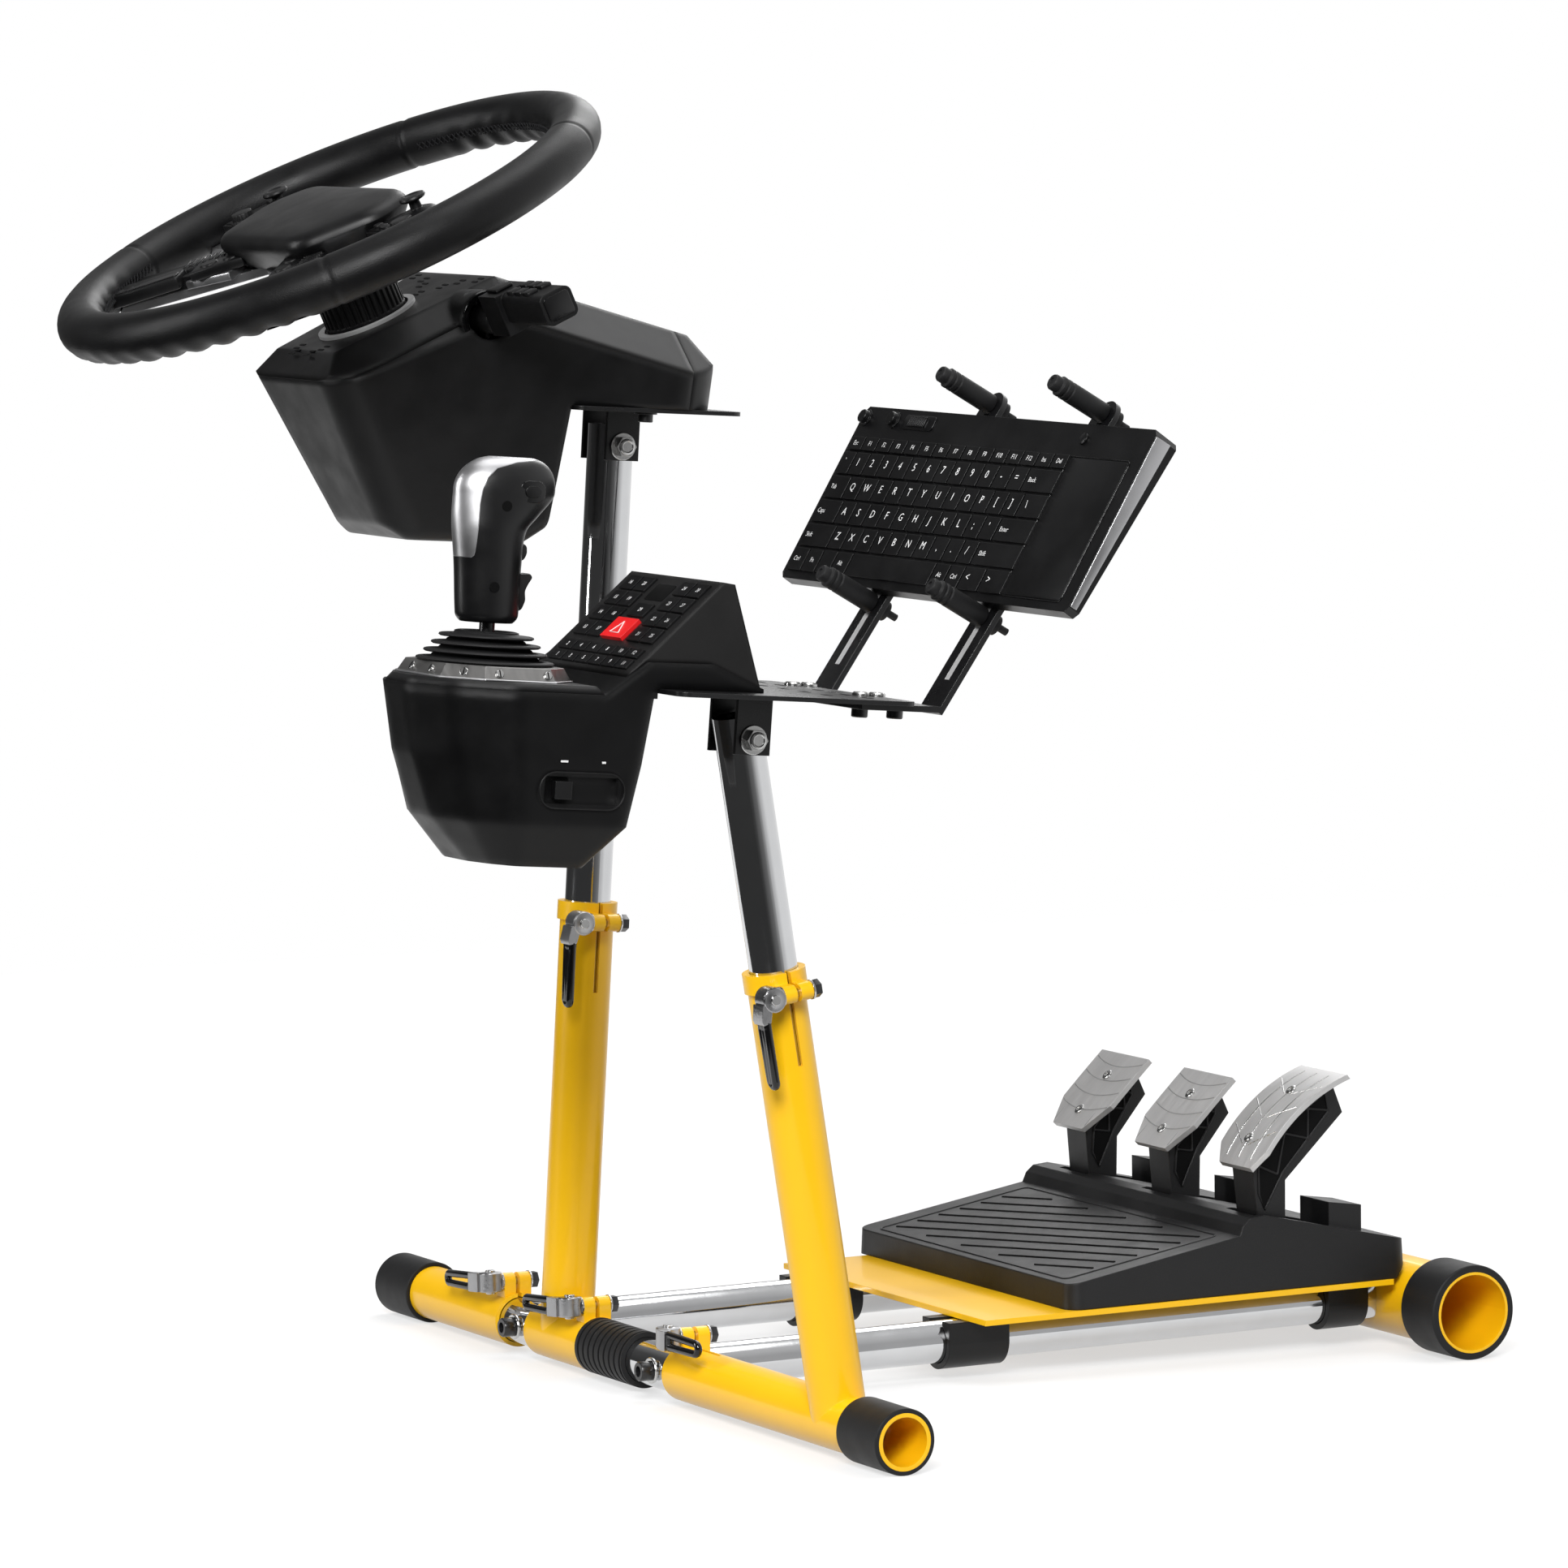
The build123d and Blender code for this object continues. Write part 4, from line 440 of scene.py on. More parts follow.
def rim_section(angle):
    """A ring of points round the rim, lower in the seams and in the finger waves."""
    wrapped = (angle + 180) % 360 - 180
    waved = sum(limited((half - abs(wrapped - middle)) / fade) for middle, half, fade in WAVED)
    wave = 0.5 + 0.5 * cos(2 * pi * radians(angle) * RIM_RADIUS / WAVE_PITCH)
    near_seam = min(abs((wrapped - seam + 180) % 360 - 180) for seam in SEAMS)
    groove = next((depth for reach, depth in SEAM_DEPTHS if near_seam < reach), 0.0)
    ring = []
    for k in range(RIM_STEPS):
        turned = 2 * pi * k / RIM_STEPS
        behind = limited(0.25 - 0.9 * sin(turned) - 0.35 * cos(turned))
        r = RIM_THICKNESS - groove - WAVE_DEPTH * waved * behind * wave
        ring.append(on_rim(radians(angle), turned, r))
    return ring


form = Form(WHEEL)
form.loft([rim_section(360.0 * i / RIM_SECTIONS) for i in range(RIM_SECTIONS)], closed=True)
rim = form.done("rim_leather", "steering_wheel", LEATHER, smooth=60)
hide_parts("wheel_rim")

form = Form(WHEEL)
for start, end in STITCHED:
    for i in range(int((end - start) / STITCH_STEP)):
        middle = start + i * STITCH_STEP
        for sign in (-1, 1):
            form.tube([on_rim(radians(middle) + radians(STITCH_HALF_LENGTH) * s,
                              pi + radians(sign * s * STITCH_HALF_SPREAD), RIM_THICKNESS + STITCH_PROUD)
                       for s in (-1, 0, 1)], STITCH_RADIUS, steps=5)
form.done("rim_stitches", "steering_wheel", THREAD)

# Hub pad: a low pillow on a six-cornered outline, as heights and scales of that outline
HUB_OUTLINE = soft_corners([(66, -57), (93, 0), (77, 33), (-77, 33), (-93, 0), (-66, -57)], 14)
HUB_CENTRE_Y = -10
HUB_LEVELS = ((-11, 0.80), (-6, 0.88), (4, 0.985), (7.5, 1.0), (10.5, 0.992), (13, 0.968), (15, 0.93),
              (16.4, 0.86), (17.6, 0.72), (18.8, 0.5), (19.6, 0.25))
form = Form(WHEEL)
form.loft([[(x * scale, (y - HUB_CENTRE_Y) * scale + HUB_CENTRE_Y, z) for x, y in HUB_OUTLINE]
           for z, scale in HUB_LEVELS])
pad = form.done("hub_pad", "steering_wheel", PLASTIC, smooth=30)
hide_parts("wheel_hub_pad")

# Thumb sticks, knurled knobs, keys and spoke panels of the steering wheel
THUMB_STICK = [(0, 2), (13, 2), (13, 4.2), (11.5, 5.4), (8.5, 6.4), (4.2, 7.0), (3.8, 12), (8.6, 13.6),
               (9.4, 14.8), (8.8, 16.4), (5.5, 17.0), (4.6, 16.4), (0, 16.2)]
KNOB_RADIUS, KNOB_TEETH = 7.4, 24
knurl = []
for i in range(2 * KNOB_TEETH):
    r = KNOB_RADIUS * (1 + 0.06 * (i % 2))
    knurl.append((r * cos(pi * i / KNOB_TEETH), r * sin(pi * i / KNOB_TEETH)))
form = Form(WHEEL)
for s in (-1, 1):
    form.lathe(THUMB_STICK, move(s * 112, 18))
    form.prism(knurl, 2, 9.5, bevel=0.8, at=move(s * 131, -4))
    form.lathe([(0, 2), (9.6, 2), (9.6, 3.6), (8.6, 4.2), (0, 4.2)], move(s * 131, -4))
    for x, y in ((97, -6), (106, -7), (115, -8), (140, 24), (131, 26)):
        form.block((s * x, y, 4.0), (7.0, 6.0, 4.4), 1.0)
    form.block((s * 118, 10, 2.8), (60, 42, 1.2), 0.5)
form.done("wheel_controls", "steering_wheel", PLASTIC)


def lower_spoke(s):
    return turn("Z", -45 if s > 0 else 225)


form = Form(WHEEL)
for s in (-1, 1):
    spoke = lower_spoke(s)
    form.block((84, -s * 4, -2.6), (42, 20, 7), 1.6, at=spoke)
    form.block((98, s * 15, -4.2), (42, 17, 9), 1.2, at=spoke)
    for i in range(8):
        form.block((80.5 + i * 5.0, s * 15, 0.9), (2.4, 14.5, 1.8), 0.6, at=spoke)
    for x in (74, 92):
        form.lathe([(0, 0.6), (6.4, 0.6), (6.4, 1.6), (5.6, 2.2), (0, 2.0)], spoke @ move(x, -s * 4))
    form.block((142, 0, -3.4), (54, 25, 9), 1.6, at=spoke)
form.done("wheel_panels", "steering_wheel", PLASTIC)
form = Form(WHEEL)
for s in (-1, 1):
    form.prism(rounded(50, 9, 2.0, 141, -s * 5.5), 0.9, 1.9, bevel=0.4, at=lower_spoke(s))
form.done("wheel_panel_inlays", "steering_wheel", COAT)
form = Form(WHEEL)
for s in (-1, 1):
    points = [(s * 58, -24), (s * 100, -26), (s * 96, -66), (s * 76, -84), (s * 40, -66)]
    form.prism(points if s > 0 else points[::-1], -11.4, -5.6, bevel=1.4)
form.done("wheel_centre_plate", "steering_wheel", SILVER)

# Painted shade of the vent slots on the flat top of the wheel base, and bolts under the wheel deck
BASE_TOP = -70.4
VENTS = ((1, 42), (16, 54), (29, 62), (50, 66), (-16, 54), (-29, 62), (-50, 66), (-20, -46), (20, -46),
         (-12, -54), (12, -54))
form = Form(WHEEL)
for x, y in VENTS:
    for step in (-2.6, 2.6):
        form.prism(rounded(8.5, 2.2, 1.05, x, y + step), BASE_TOP, BASE_TOP + 0.25)
form.done("base_vent_shade", "wheel_deck", RECESS_SHADE)
form = Form(WHEEL_DECK)
for x, y in ((80, -14), (-80, -14)):
    form.lathe([(0, -3.1), (8, -3.1), (8, -4.3), (5.2, -4.4), (5.2, -9.4), (4.7, -9.9), (2.6, -9.9),
                (2.4, -7.5), (0, -7.5)], move(x, y), 24)
form.done("wheel_deck_screws", "wheel_deck", STEEL)

# Stalk: ring round its root, display on its end and buttons on its top
form = Form(STALK @ turn("Y", 90))
form.lathe([(15.2, 11.9), (19.4, 11.9), (19.4, 12.5), (18.6, 13.2), (16.0, 13.2), (15.2, 12.5),
            (15.2, 11.9)], steps=40)
form.done("stalk_ring", "wheel_deck", GLOSS)
form = Form(STALK)
form.prism(rounded(20, 17, 2.4), 0, 0.7, bevel=0.3, at=move(114.0, 8, 9) @ SIDEWAYS)
form.done("stalk_display", "stalk", GLOSS)
form = Form(STALK)
for x in (66, 78, 90):
    for y in (2.5, 13.5):
        form.block((x, y, 20.6), (9.4, 8.4, 3.2), 1.0)
form.block((39, 5, 21.6), (16, 14, 2.6), 1.2)
form.done("stalk_buttons", "stalk", KEYS)

# Washers of the deck brackets' bolts, and the thread end on the right
for name, place, body in (("mast", WHEEL_BOLT, "wheel_deck"), ("leg", SHIFTER_BOLT, "shifter_deck")):
    for s in (-1, 1):
        form = Form(place @ turn("Y", 90 * s))
        form.lathe([(4.3, 19.6), (9.6, 19.6), (9.8, 20.2), (9.4, 20.9), (4.3, 20.9)])
        if s > 0:
            form.lathe([(4.0, 26.4), (5.8, 26.4), (5.6, 27.8), (4.2, 28.2), (3.6, 27.6), (0, 27.6)], steps=24)
        form.done(f"{name}_washer_{side_name(s)}", body, ZINC)

# Quick release clamps: screw, nut and washers on the sleeve, cast cam, pin and looped handle on the lever
CLAMP_SCREW_Z = 0.0272
CLAMP_PIN_Y = -0.0188
CAM_BARREL = [(0, -7.2), (4.2, -7.2), (4.6, -7.0), (7.6, -7.0), (8.4, -6.2), (8.4, 6.2), (7.6, 7.0),
              (4.6, 7.0), (4.2, 7.2), (0, 7.2)]
CAM_PIN = [(0, -8.6), (3.2, -8.6), (3.6, -8.2), (3.6, -7.1), (3.6, 7.1), (3.6, 8.2), (3.2, 8.6), (0, 8.6)]


def handle_loop():
    """Middle line of a looped handle: bowed outwards and narrower towards its tip."""
    return [(x, -5.2 - 3.0 * sin(pi * min(x, 58) / 64), z * (1.08 - 0.0045 * (x - 12)))
            for x, z in rounded(46, 7.8, 3.8, 34, 0, steps=8)]


def clamp_set(name, clamp, along, up, body, lever_body, web=False):
    """A clamp's hardware. The handle lies along the clamp's X, or against it, and a web may close it."""
    screw = clamp @ move(z=CLAMP_SCREW_Z) @ turn("X", -90)
    form = Form(screw)
    form.lathe([(0, -12), (3, -12), (3, 17.6), (2.4, 18.4), (0, 18.4)], steps=20)
    form.lathe([(3, 10.6), (6.6, 10.6), (6.6, 11.8), (3, 11.8)], steps=24)
    form.lathe([(3, -11.9), (6.8, -11.9), (6.8, -10.6), (3, -10.6)], steps=24)
    form.done(name + "_screw", body, ZINC)
    form = Form(screw)
    form.prism(hexagon(10.6), 11.9, 17.2, bevel=0.5)
    form.done(name + "_nut", body, STEEL)
    pin = clamp @ move(y=CLAMP_PIN_Y, z=CLAMP_SCREW_Z)
    if along < 0:
        pin = pin @ turn("Y", 180)
    pin = pin @ turn("Y", -up)
    form = Form(pin)
    form.lathe(CAM_BARREL, steps=36)
    form.block((-1.5, 7.2, 0), (8.0, 2.6, 10.5), 0.8)
    form.prism([(2, -9.6), (12, -11.6), (15, -10.6), (14, -5.2), (6, -3.0), (2, -3.0)], -6.7, 6.7)
    form.done(name + "_cam", lever_body, CAST)
    form = Form(pin)
    form.lathe(CAM_PIN, steps=20)
    form.done(name + "_pin", lever_body, ZINC)
    form = Form(pin)
    form.tube(handle_loop(), 2.7, closed=True, steps=14)
    if web:
        form.block((34, -8.0, 0), (42, 2.4, 7), 0.6)
    form.block((14.5, -7.0, 0), (9, 5.4, 12.4), 2.0, 3)
    handle = form.done(name + "_handle", lever_body, GLOSS, smooth=50)
    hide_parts(lever_body)


clamp_set("left_foot", LEFT_CLAMP, -1, 4, "left_foot", "left_foot_lever")
clamp_set("mast_foot", MAST_FOOT_CLAMP, -1, 4, "mast", "mast_foot_lever")
clamp_set("side_leg_foot", LEG_FOOT_CLAMP, 1, 0, "side_leg", "side_leg_foot_lever")
clamp_set("mast_top", MAST_CLAMP, 1, 0, "mast", "mast_lever", web=True)
clamp_set("side_leg_top", LEG_CLAMP, 1, 0, "side_leg", "side_leg_lever", web=True)

# Socket screws that hold the rails, with their washers
for name, x in (("left", -0.0492), ("right", 0.1654)):
    place = FRONT @ move(x=x) @ turn("X", 90)
    form = Form(place)
    form.lathe([(0, 16.0), (8.8, 16.0), (9.2, 17.4), (8.6, 18.4), (5, 18.4)], steps=28)
    form.done(f"rail_washer_{name}", "frame", ZINC)
    form = Form(place)
    form.lathe([(0, 18.3), (6.6, 18.3), (6.8, 18.9), (6.8, 26.4), (6.2, 27.2), (3.8, 27.2), (3.5, 23.5),
                (0, 23.0)], steps=28)
    form.done(f"rail_screw_{name}", "frame", STEEL)

# Shifter boot: folds that get smaller upwards, open round the rod
BOOT_FOLDS = 4
BOOT_RADIUS, BOOT_RADIUS_STEP = 44.5, 4.6
BOOT_FOOT, BOOT_FOLD_HEIGHT = 15.2, 5.2
profile = []
for i in range(BOOT_FOLDS):
    r = BOOT_RADIUS - i * BOOT_RADIUS_STEP
    z = BOOT_FOOT + i * BOOT_FOLD_HEIGHT
    profile += [(r - 9.0, z), (r - 1.2, z + 0.1), (r, z + 0.9), (r - 0.4, z + 1.9), (r - 1.6, z + 2.3),
                (r - 9.4, z + 2.9), (r - 10.4, z + 4.2)]
profile += [(20.8, 35.0), (18.6, 35.6), (17.2, 35.2), (16.6, 34.0), (16.4, 31.5)]
form = Form(LEVER)
form.lathe(profile, steps=56)
boot = form.done("boot_folds", None, RUBBER, smooth=50)
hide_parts("lever_boot")
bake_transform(boot)

# Shifter grip: oval sections of height, centre Y and half axes in Y and X, cut into grip and metal spine
GRIP_SECTIONS = ((41, -1, 17.4, 14.4), (43, -1, 19.6, 16), (46, -1, 21, 17), (78, -2.5, 22.5, 18),
                 (100, -3, 25, 18.5), (110, 0.5, 29.5, 18.5), (122, 5.5, 34.5, 18.5), (128, 6.2, 35, 18),
                 (134, 6.8, 33.5, 17), (139, 7.6, 30.5, 15), (143, 8.4, 26, 12.5), (145.6, 8.8, 21, 9.6),
                 (147, 9, 15, 6.6))
GRIP_STEPS = 72
GRIP_HEIGHTS = [41 + i * 1.25 for i in range(79)] + [140 + i * 0.5 for i in range(14)] + [146.99]
SPINE_SIDE = [(-60, 82), (-20, 82), (-18.6, 83.4), (-18.2, 86), (-17.6, 100), (-17.0, 117), (-15.6, 126),
              (-12.4, 133.6), (-6, 139.6), (8, 143.8), (30, 146.4), (60, 150), (60, 200), (-60, 200)]


def grip_at(z):
    """Centre and half axes of the grip at one height, on a smooth line through its sections."""
    last = len(GRIP_SECTIONS) - 1
    i = max(k for k in range(last) if GRIP_SECTIONS[k][0] <= z)
    a, b, c, d = [GRIP_SECTIONS[k] for k in (max(i - 1, 0), i, i + 1, min(i + 2, last))]
    t = (z - b[0]) / (c[0] - b[0])
    values = []
    for k in (1, 2, 3):
        m0 = (c[k] - a[k]) / max(c[0] - a[0], 1e-6) * (c[0] - b[0])
        m1 = (d[k] - b[k]) / max(d[0] - b[0], 1e-6) * (c[0] - b[0])
        values.append((2 * t ** 3 - 3 * t * t + 1) * b[k] + (t ** 3 - 2 * t * t + t) * m0
                      + (3 * t * t - 2 * t ** 3) * c[k] + (t ** 3 - t * t) * m1)
    return values


def grip_rings():
    angles = [2 * pi * k / GRIP_STEPS for k in range(GRIP_STEPS)]
    rings = []
    for z in GRIP_HEIGHTS:
        y, deep, wide = grip_at(z)
        rings.append([(wide * cos(a), y + deep * sin(a), z) for a in angles])
    return rings


def grip_part(name, operation, cutter, mat, node):
    """One side of the grip's cut, as a piece of its own."""
    form = Form(LEVER)
    form.loft(grip_rings())
    piece = form.done(name, "gear_lever", mat)
    cut = piece.modifiers.new("cut", "BOOLEAN")
    cut.operation = operation
    cut.object = cutter
    cut.solver = "EXACT"
    bpy.context.view_layer.update()
    made = bpy.data.meshes.new_from_object(piece.evaluated_get(bpy.context.evaluated_depsgraph_get()))
    piece.modifiers.clear()
    made.materials.clear()
    made.materials.append(mat)
    piece.data = made
    made.set_sharp_from_angle(angle=radians(50))
    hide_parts(node)


form = Form(LEVER)
form.prism(SPINE_SIDE, -60, 60, at=SIDEWAYS)
cutter_mesh = form.mesh("cutter")
cutter = bpy.data.objects.new("cutter", cutter_mesh)
scene.collection.objects.link(cutter)
grip_part("grip", "DIFFERENCE", cutter, GRIP, "lever_knob")
grip_part("grip_spine", "INTERSECT", cutter, SILVER, "lever_spine")
bpy.data.objects.remove(cutter)
bpy.data.meshes.remove(cutter_mesh)

# Lever rod, and the grip's button, triggers, and painted shade of its screw holes
LOWER_TRIGGER = [(17, 48), (22, 50), (24.4, 56), (23.6, 62), (25.4, 66), (28.6, 71), (26.4, 73.6), (21, 73),
                 (17, 74)]
UPPER_TRIGGER = [(17, 80), (21.6, 82), (23.4, 86), (23.0, 91), (17, 94)]
form = Form(LEVER)
form.lathe([(0, -8), (5, -8), (5, 42), (0, 42)], steps=24)
form.done("lever_rod", "gear_lever", STEEL)
form = Form(LEVER)
form.prism(rounded(19, 14, 6.6), 0, 0.9, bevel=0.5, at=move(16.9, 18, 126) @ SIDEWAYS)
form.done("grip_button_frame", "gear_lever", GLOSS)
form = Form(LEVER)
form.prism(rounded(11, 7.6, 3.6), 0, 1.6, bevel=0.6, at=move(17.2, 18, 126) @ SIDEWAYS)
for trigger in (LOWER_TRIGGER, UPPER_TRIGGER):
    form.prism(soft_corners(trigger, 1.6, 3), -4.5, 4.5, bevel=1.2, at=SIDEWAYS)
form.done("grip_buttons", "gear_lever", KEYS)
form = Form(LEVER)
for x, y, z in ((18.2, 0, 116), (17.5, -5, 64)):
    form.lathe([(0, 0.0), (3.4, 0.0), (3.4, 0.5), (0, 0.5)], move(x, y, z) @ SIDEWAYS, 20)
form.done("grip_hole_shade", "gear_lever", RECESS_SHADE)

# Trim plate round the boot: slotted screws on its bevel, by place and heading, with painted shade in their
# slots, and its bright lower edge
TRIM_SCREWS = ((51.4, 20, 0), (51.4, -14, 0), (-51.4, 20, 180), (-51.4, -14, 180), (14, -44.4, -90),
               (-14, -44.4, -90), (40.4, -33.6, -45), (-40.4, -33.6, -135))
TRIM_CORNERS = ((54, 25), (32, 47), (-32, 47), (-54, 25), (-54, -25), (-32, -47), (32, -47), (54, -25))
trim_places = [move(x, y, 10.6) @ turn("Z", heading) @ turn("Y", 60) for x, y, heading in TRIM_SCREWS]
form = Form(LEVER)
for place in trim_places:
    form.lathe([(0, -0.4), (3.0, -0.4), (3.0, 0.6), (2.4, 1.1), (0, 1.1)], place, 20)
form.done("trim_screws", "shifter_deck", ZINC)
form = Form(LEVER)
for place in trim_places:
    form.block((0, 0, 1.1), (5.0, 0.8, 0.24), 0.0, at=place)
form.done("trim_screw_slot_shade", "shifter_deck", RECESS_SHADE)
form = Form(LEVER)
form.tube([(x, y, 6.5) for x, y in TRIM_CORNERS], 0.9, closed=True)
form.done("trim_edge", "shifter_deck", SILVER)

# Slide switch: line round its slot and marks over it
form = Form(SHIFTER_TOP)
form.tube([(68.5, y, z) for y, z in rounded(60, 23, 11, -146, -60.5, steps=6)], 0.55, closed=True)
form.done("switch_surround", "shifter_deck", PLASTIC)
form = Form(SHIFTER_TOP)
for y, width in ((-160, 5.2), (-132, 2.72)):
    form.block((69.0, y, -42), (0.5, width, 1.3), 0.1)
form.done("switch_marks", "shifter_deck", WHITE)

# Console: numbers on its blocks of keys, by edges, columns and rows, a triangle, and painted shade of a
# recess at the top
KEY_BLOCKS = ((-57, 57, 5, 25, 6, 2), (-57, -19, 29, 87, 2, 4), (19, 57, 29, 87, 2, 4),
              (-12, 12, 50, 64, 1, 1))
form = Form(PANEL)
mark = 0
for left, right, low, high, columns, rows in KEY_BLOCKS:
    w, h = (right - left) / columns, (high - low) / rows
    for column in range(columns):
        for row in range(rows):
            mark += 1
            form.letters(str(mark), 4.6, (left + (column + 0.5) * w, low + (row + 0.5) * h, 1.66))
form.done("console_marks", "shifter_deck", WHITE)
form = Form(PANEL)
form.tube([(-6.0, 33.6, 3.1), (6.0, 33.6, 3.1), (0.0, 43.6, 3.1)], 0.45, closed=True, steps=6)
form.done("hazard_mark", "shifter_deck", WHITE)
# Painted shade: a dark patch where the recess at the top of the panel is
form = Form(PANEL)
form.prism(rounded(26, 15, 2.0, 0, 75), 0, 0.4, bevel=0.2)
form.done("console_recess_shade", "shifter_deck", RECESS_SHADE)

# Shifter deck: screws under it, painted shade of the slots in its top, and the holder's screws
DECK_TOP = 33.1
DECK_SLOTS = ((-60, 30), (-30, 30), (0, 30), (30, 30), (60, 30), (-45, 52), (45, 52), (0, 56), (-75, 52),
              (75, 52))
form = Form(SHIFTER)
for x, y, low in ((47, 62, 26.0), (47, 88, 26.0), (-92, 11, 30.0)):
    form.lathe([(0, low), (8, low), (8, low - 1.2), (5.4, low - 1.3), (5.4, low - 6.4), (4.8, low - 7),
                (2.6, low - 7), (2.4, low - 4.5), (0, low - 4.5)], move(x, y), 24)
form.done("shifter_deck_screws", "shifter_deck", STEEL)
form = Form(SHIFTER)
for x, y in DECK_SLOTS:
    form.prism(rounded(12, 5, 2.4, x, y), DECK_TOP, DECK_TOP + 0.15)
form.done("shifter_deck_slot_shade", "shifter_deck", RECESS_SHADE)
form = Form(SHIFTER)
for x in (-47, 47):
    for y in (62, 74):
        form.lathe([(0, 0), (5.6, 0), (5.6, 1.5), (4.6, 2.5), (2.6, 2.5), (2.4, 1.1), (0, 1.1)],
                   move(x, y, DECK_TOP), 24)
form.done("holder_screws", "shifter_deck", ZINC)

# Keyboard: letters by key width in units, touch pad, side strip, knobs and roller
KEY_PITCH, KEY_ROW, TOP_ROW = 19.8, 18.6, 12.0
KEY_MARGIN = 5.0
KEY_TOP = 2.26
KEYBOARD_HALF = 195.25
PAD_X, PAD_Y = 142, 57.5


def single_keys(texts):
    return tuple((1, text) for text in texts)


LEGENDS = (
    ((1.1, "Ctrl"), (1, "Fn"), (1, ""), (1.1, "Alt"), (5.8, ""), (1, "Alt"), (1, "Ctrl"), (1.4, "<"),
     (1.6, ">")),
    ((2.1, "Shift"),) + single_keys("ZXCVBNM,./") + ((2.9, "Shift"),),
    ((1.7, "Caps"),) + single_keys("ASDFGHJKL;'") + ((2.3, "Enter"),),
    ((1.4, "Tab"),) + single_keys("QWERTYUIOP[]") + ((1.6, "\\"),),
    ((0.9, "`"),) + single_keys("1234567890-=") + ((2.1, "Back"),),
    single_keys(["Esc", *[f"F{i}" for i in range(1, 13)], "Ins", "Del"]),
)
form = Form(KEYBOARD)
y = KEY_MARGIN
for row in LEGENDS:
    height = TOP_ROW if row is LEGENDS[-1] else KEY_ROW
    x = KEY_MARGIN - KEYBOARD_HALF
    for units, text in row:
        w = units * KEY_PITCH
        if len(text) == 1:
            form.letters(text, 8.2, (x + min(w, KEY_PITCH) * 0.40, y + height * 0.54, KEY_TOP))
        elif text:
            form.letters(text, 5.0, (x + min(w / 2, 9.5), y + height * 0.5, KEY_TOP))
        x += w
    y += height
form.done("key_legends", "shifter_deck", WHITE)
form = Form(KEYBOARD)
form.prism(rounded(76, 101, 3.0, PAD_X, PAD_Y), 0, 0.5, bevel=0.2)
form.done("touch_pad", "shifter_deck", KEYS)
form = Form(KEYBOARD)
form.tube([(x, y, 0.2) for x, y in rounded(78, 103, 3.6, PAD_X, PAD_Y)], 0.45, closed=True, steps=6)
form.done("touch_pad_edge", "shifter_deck", GLOSS)
form = Form(KEYBOARD)
form.prism([(4.5, -0.6), (128.5, -0.6), (128.5, -12.5), (4.5, -5.6)], KEYBOARD_HALF - 0.45,
           KEYBOARD_HALF + 0.25, bevel=0.1, at=SIDEWAYS)
form.done("keyboard_trim", "shifter_deck", SILVER)
form = Form(KEYBOARD)
for x in (-188, -148):
    form.lathe([(0, 0), (6.2, 0), (6.2, 0.8), (5.0, 1.2), (4.8, 4.2), (4.2, 4.8), (0, 4.8)], move(x, 124), 28)
form.lathe([(0, 0), (4.4, 0), (4.2, 1.4), (3.4, 1.9), (0, 1.9)], move(110, 122), 24)
form.prism(rounded(42, 11, 3.0, -113, 123.5), 0, 0.9, bevel=0.4)
for i in range(12):
    form.block((-124 + i * 2.0, 123.5, 1.6), (1.2, 7.5, 2.4), 0.4)
form.done("keyboard_controls", "shifter_deck", KEYS)

# Keyboard holder: painted highlight on the walls of its slots, and four pegs with collars and open tips
HOLDER_ARM_X = 75
PEG_TILT = 95
PEG = [(0, -20), (2.5, -20), (2.5, -10.8), (6.9, -10.8), (6.9, -4.8), (2.5, -4.8), (2.5, 0.8), (6.6, 0.8),
       (7.0, 1.4), (7.0, 30.5), (6.4, 31.0), (6.4, 32.0), (7.0, 32.5), (7.0, 35.0), (6.4, 35.5), (6.4, 36.5),
       (7.0, 37.0), (7.0, 39.0), (6.0, 39.8), (5.6, 40.2), (5.6, 44.4), (4.8, 45.6), (2.6, 46.0), (2.2, 44.6),
       (0, 44.6)]
form = Form(HOLDER)
for s in (-1, 1):
    form.block((s * HOLDER_ARM_X - 2.8, 2, 118), (0.3, 3.8, 196), 0.0)
form.done("holder_slot_highlight", "shifter_deck", GREY)
for s in (-1, 1):
    for label, z in (("low", 0.0675), ("high", 0.226)):
        form = Form(HOLDER @ move(x=s * HOLDER_ARM_X / 1000, z=z) @ turn("X", PEG_TILT))
        form.lathe(PEG, steps=36)
        made = form.done(f"peg_{label}_{side_name(s)}", "shifter_deck", RUBBER)
        if s < 0 and label == "low":
            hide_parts("holder_pegs")

# Foot rest: painted shade of its grooves as slanted dark lines, inside a border
REST_LEFT, REST_RIGHT, REST_LOW, REST_HIGH = -146.0, 128.0, 12.0, 130.0
GROOVES = 12
GROOVE_STEP = 18
GROOVE_SLOPE = 0.343
GROOVE_MARGIN = 5
form = Form(FOOT_REST)
for i in range(GROOVES):
    start = REST_LOW - 86 + GROOVE_STEP * i
    line = [(x, start + GROOVE_SLOPE * (x - REST_LEFT)) for x in range(-138, 121, 2)]
    inside = [p for p in line if REST_LOW + GROOVE_MARGIN <= p[1] <= REST_HIGH - GROOVE_MARGIN]
    if len(inside) > 8:
        form.tube([(*inside[0], 0.0), (*inside[-1], 0.0)], 0.9)
form.done("foot_rest_groove_shade", "pedal_deck", RECESS_SHADE)
form = Form(FOOT_REST)
border = rounded(REST_RIGHT - REST_LEFT, REST_HIGH - REST_LOW + 8, 5, (REST_LEFT + REST_RIGHT) / 2,
                 (REST_LOW + REST_HIGH) / 2)
form.tube([(x, y, 0.0) for x, y in border], 0.8, closed=True)
form.done("foot_rest_border", "pedal_deck", PEDAL_PLASTIC)
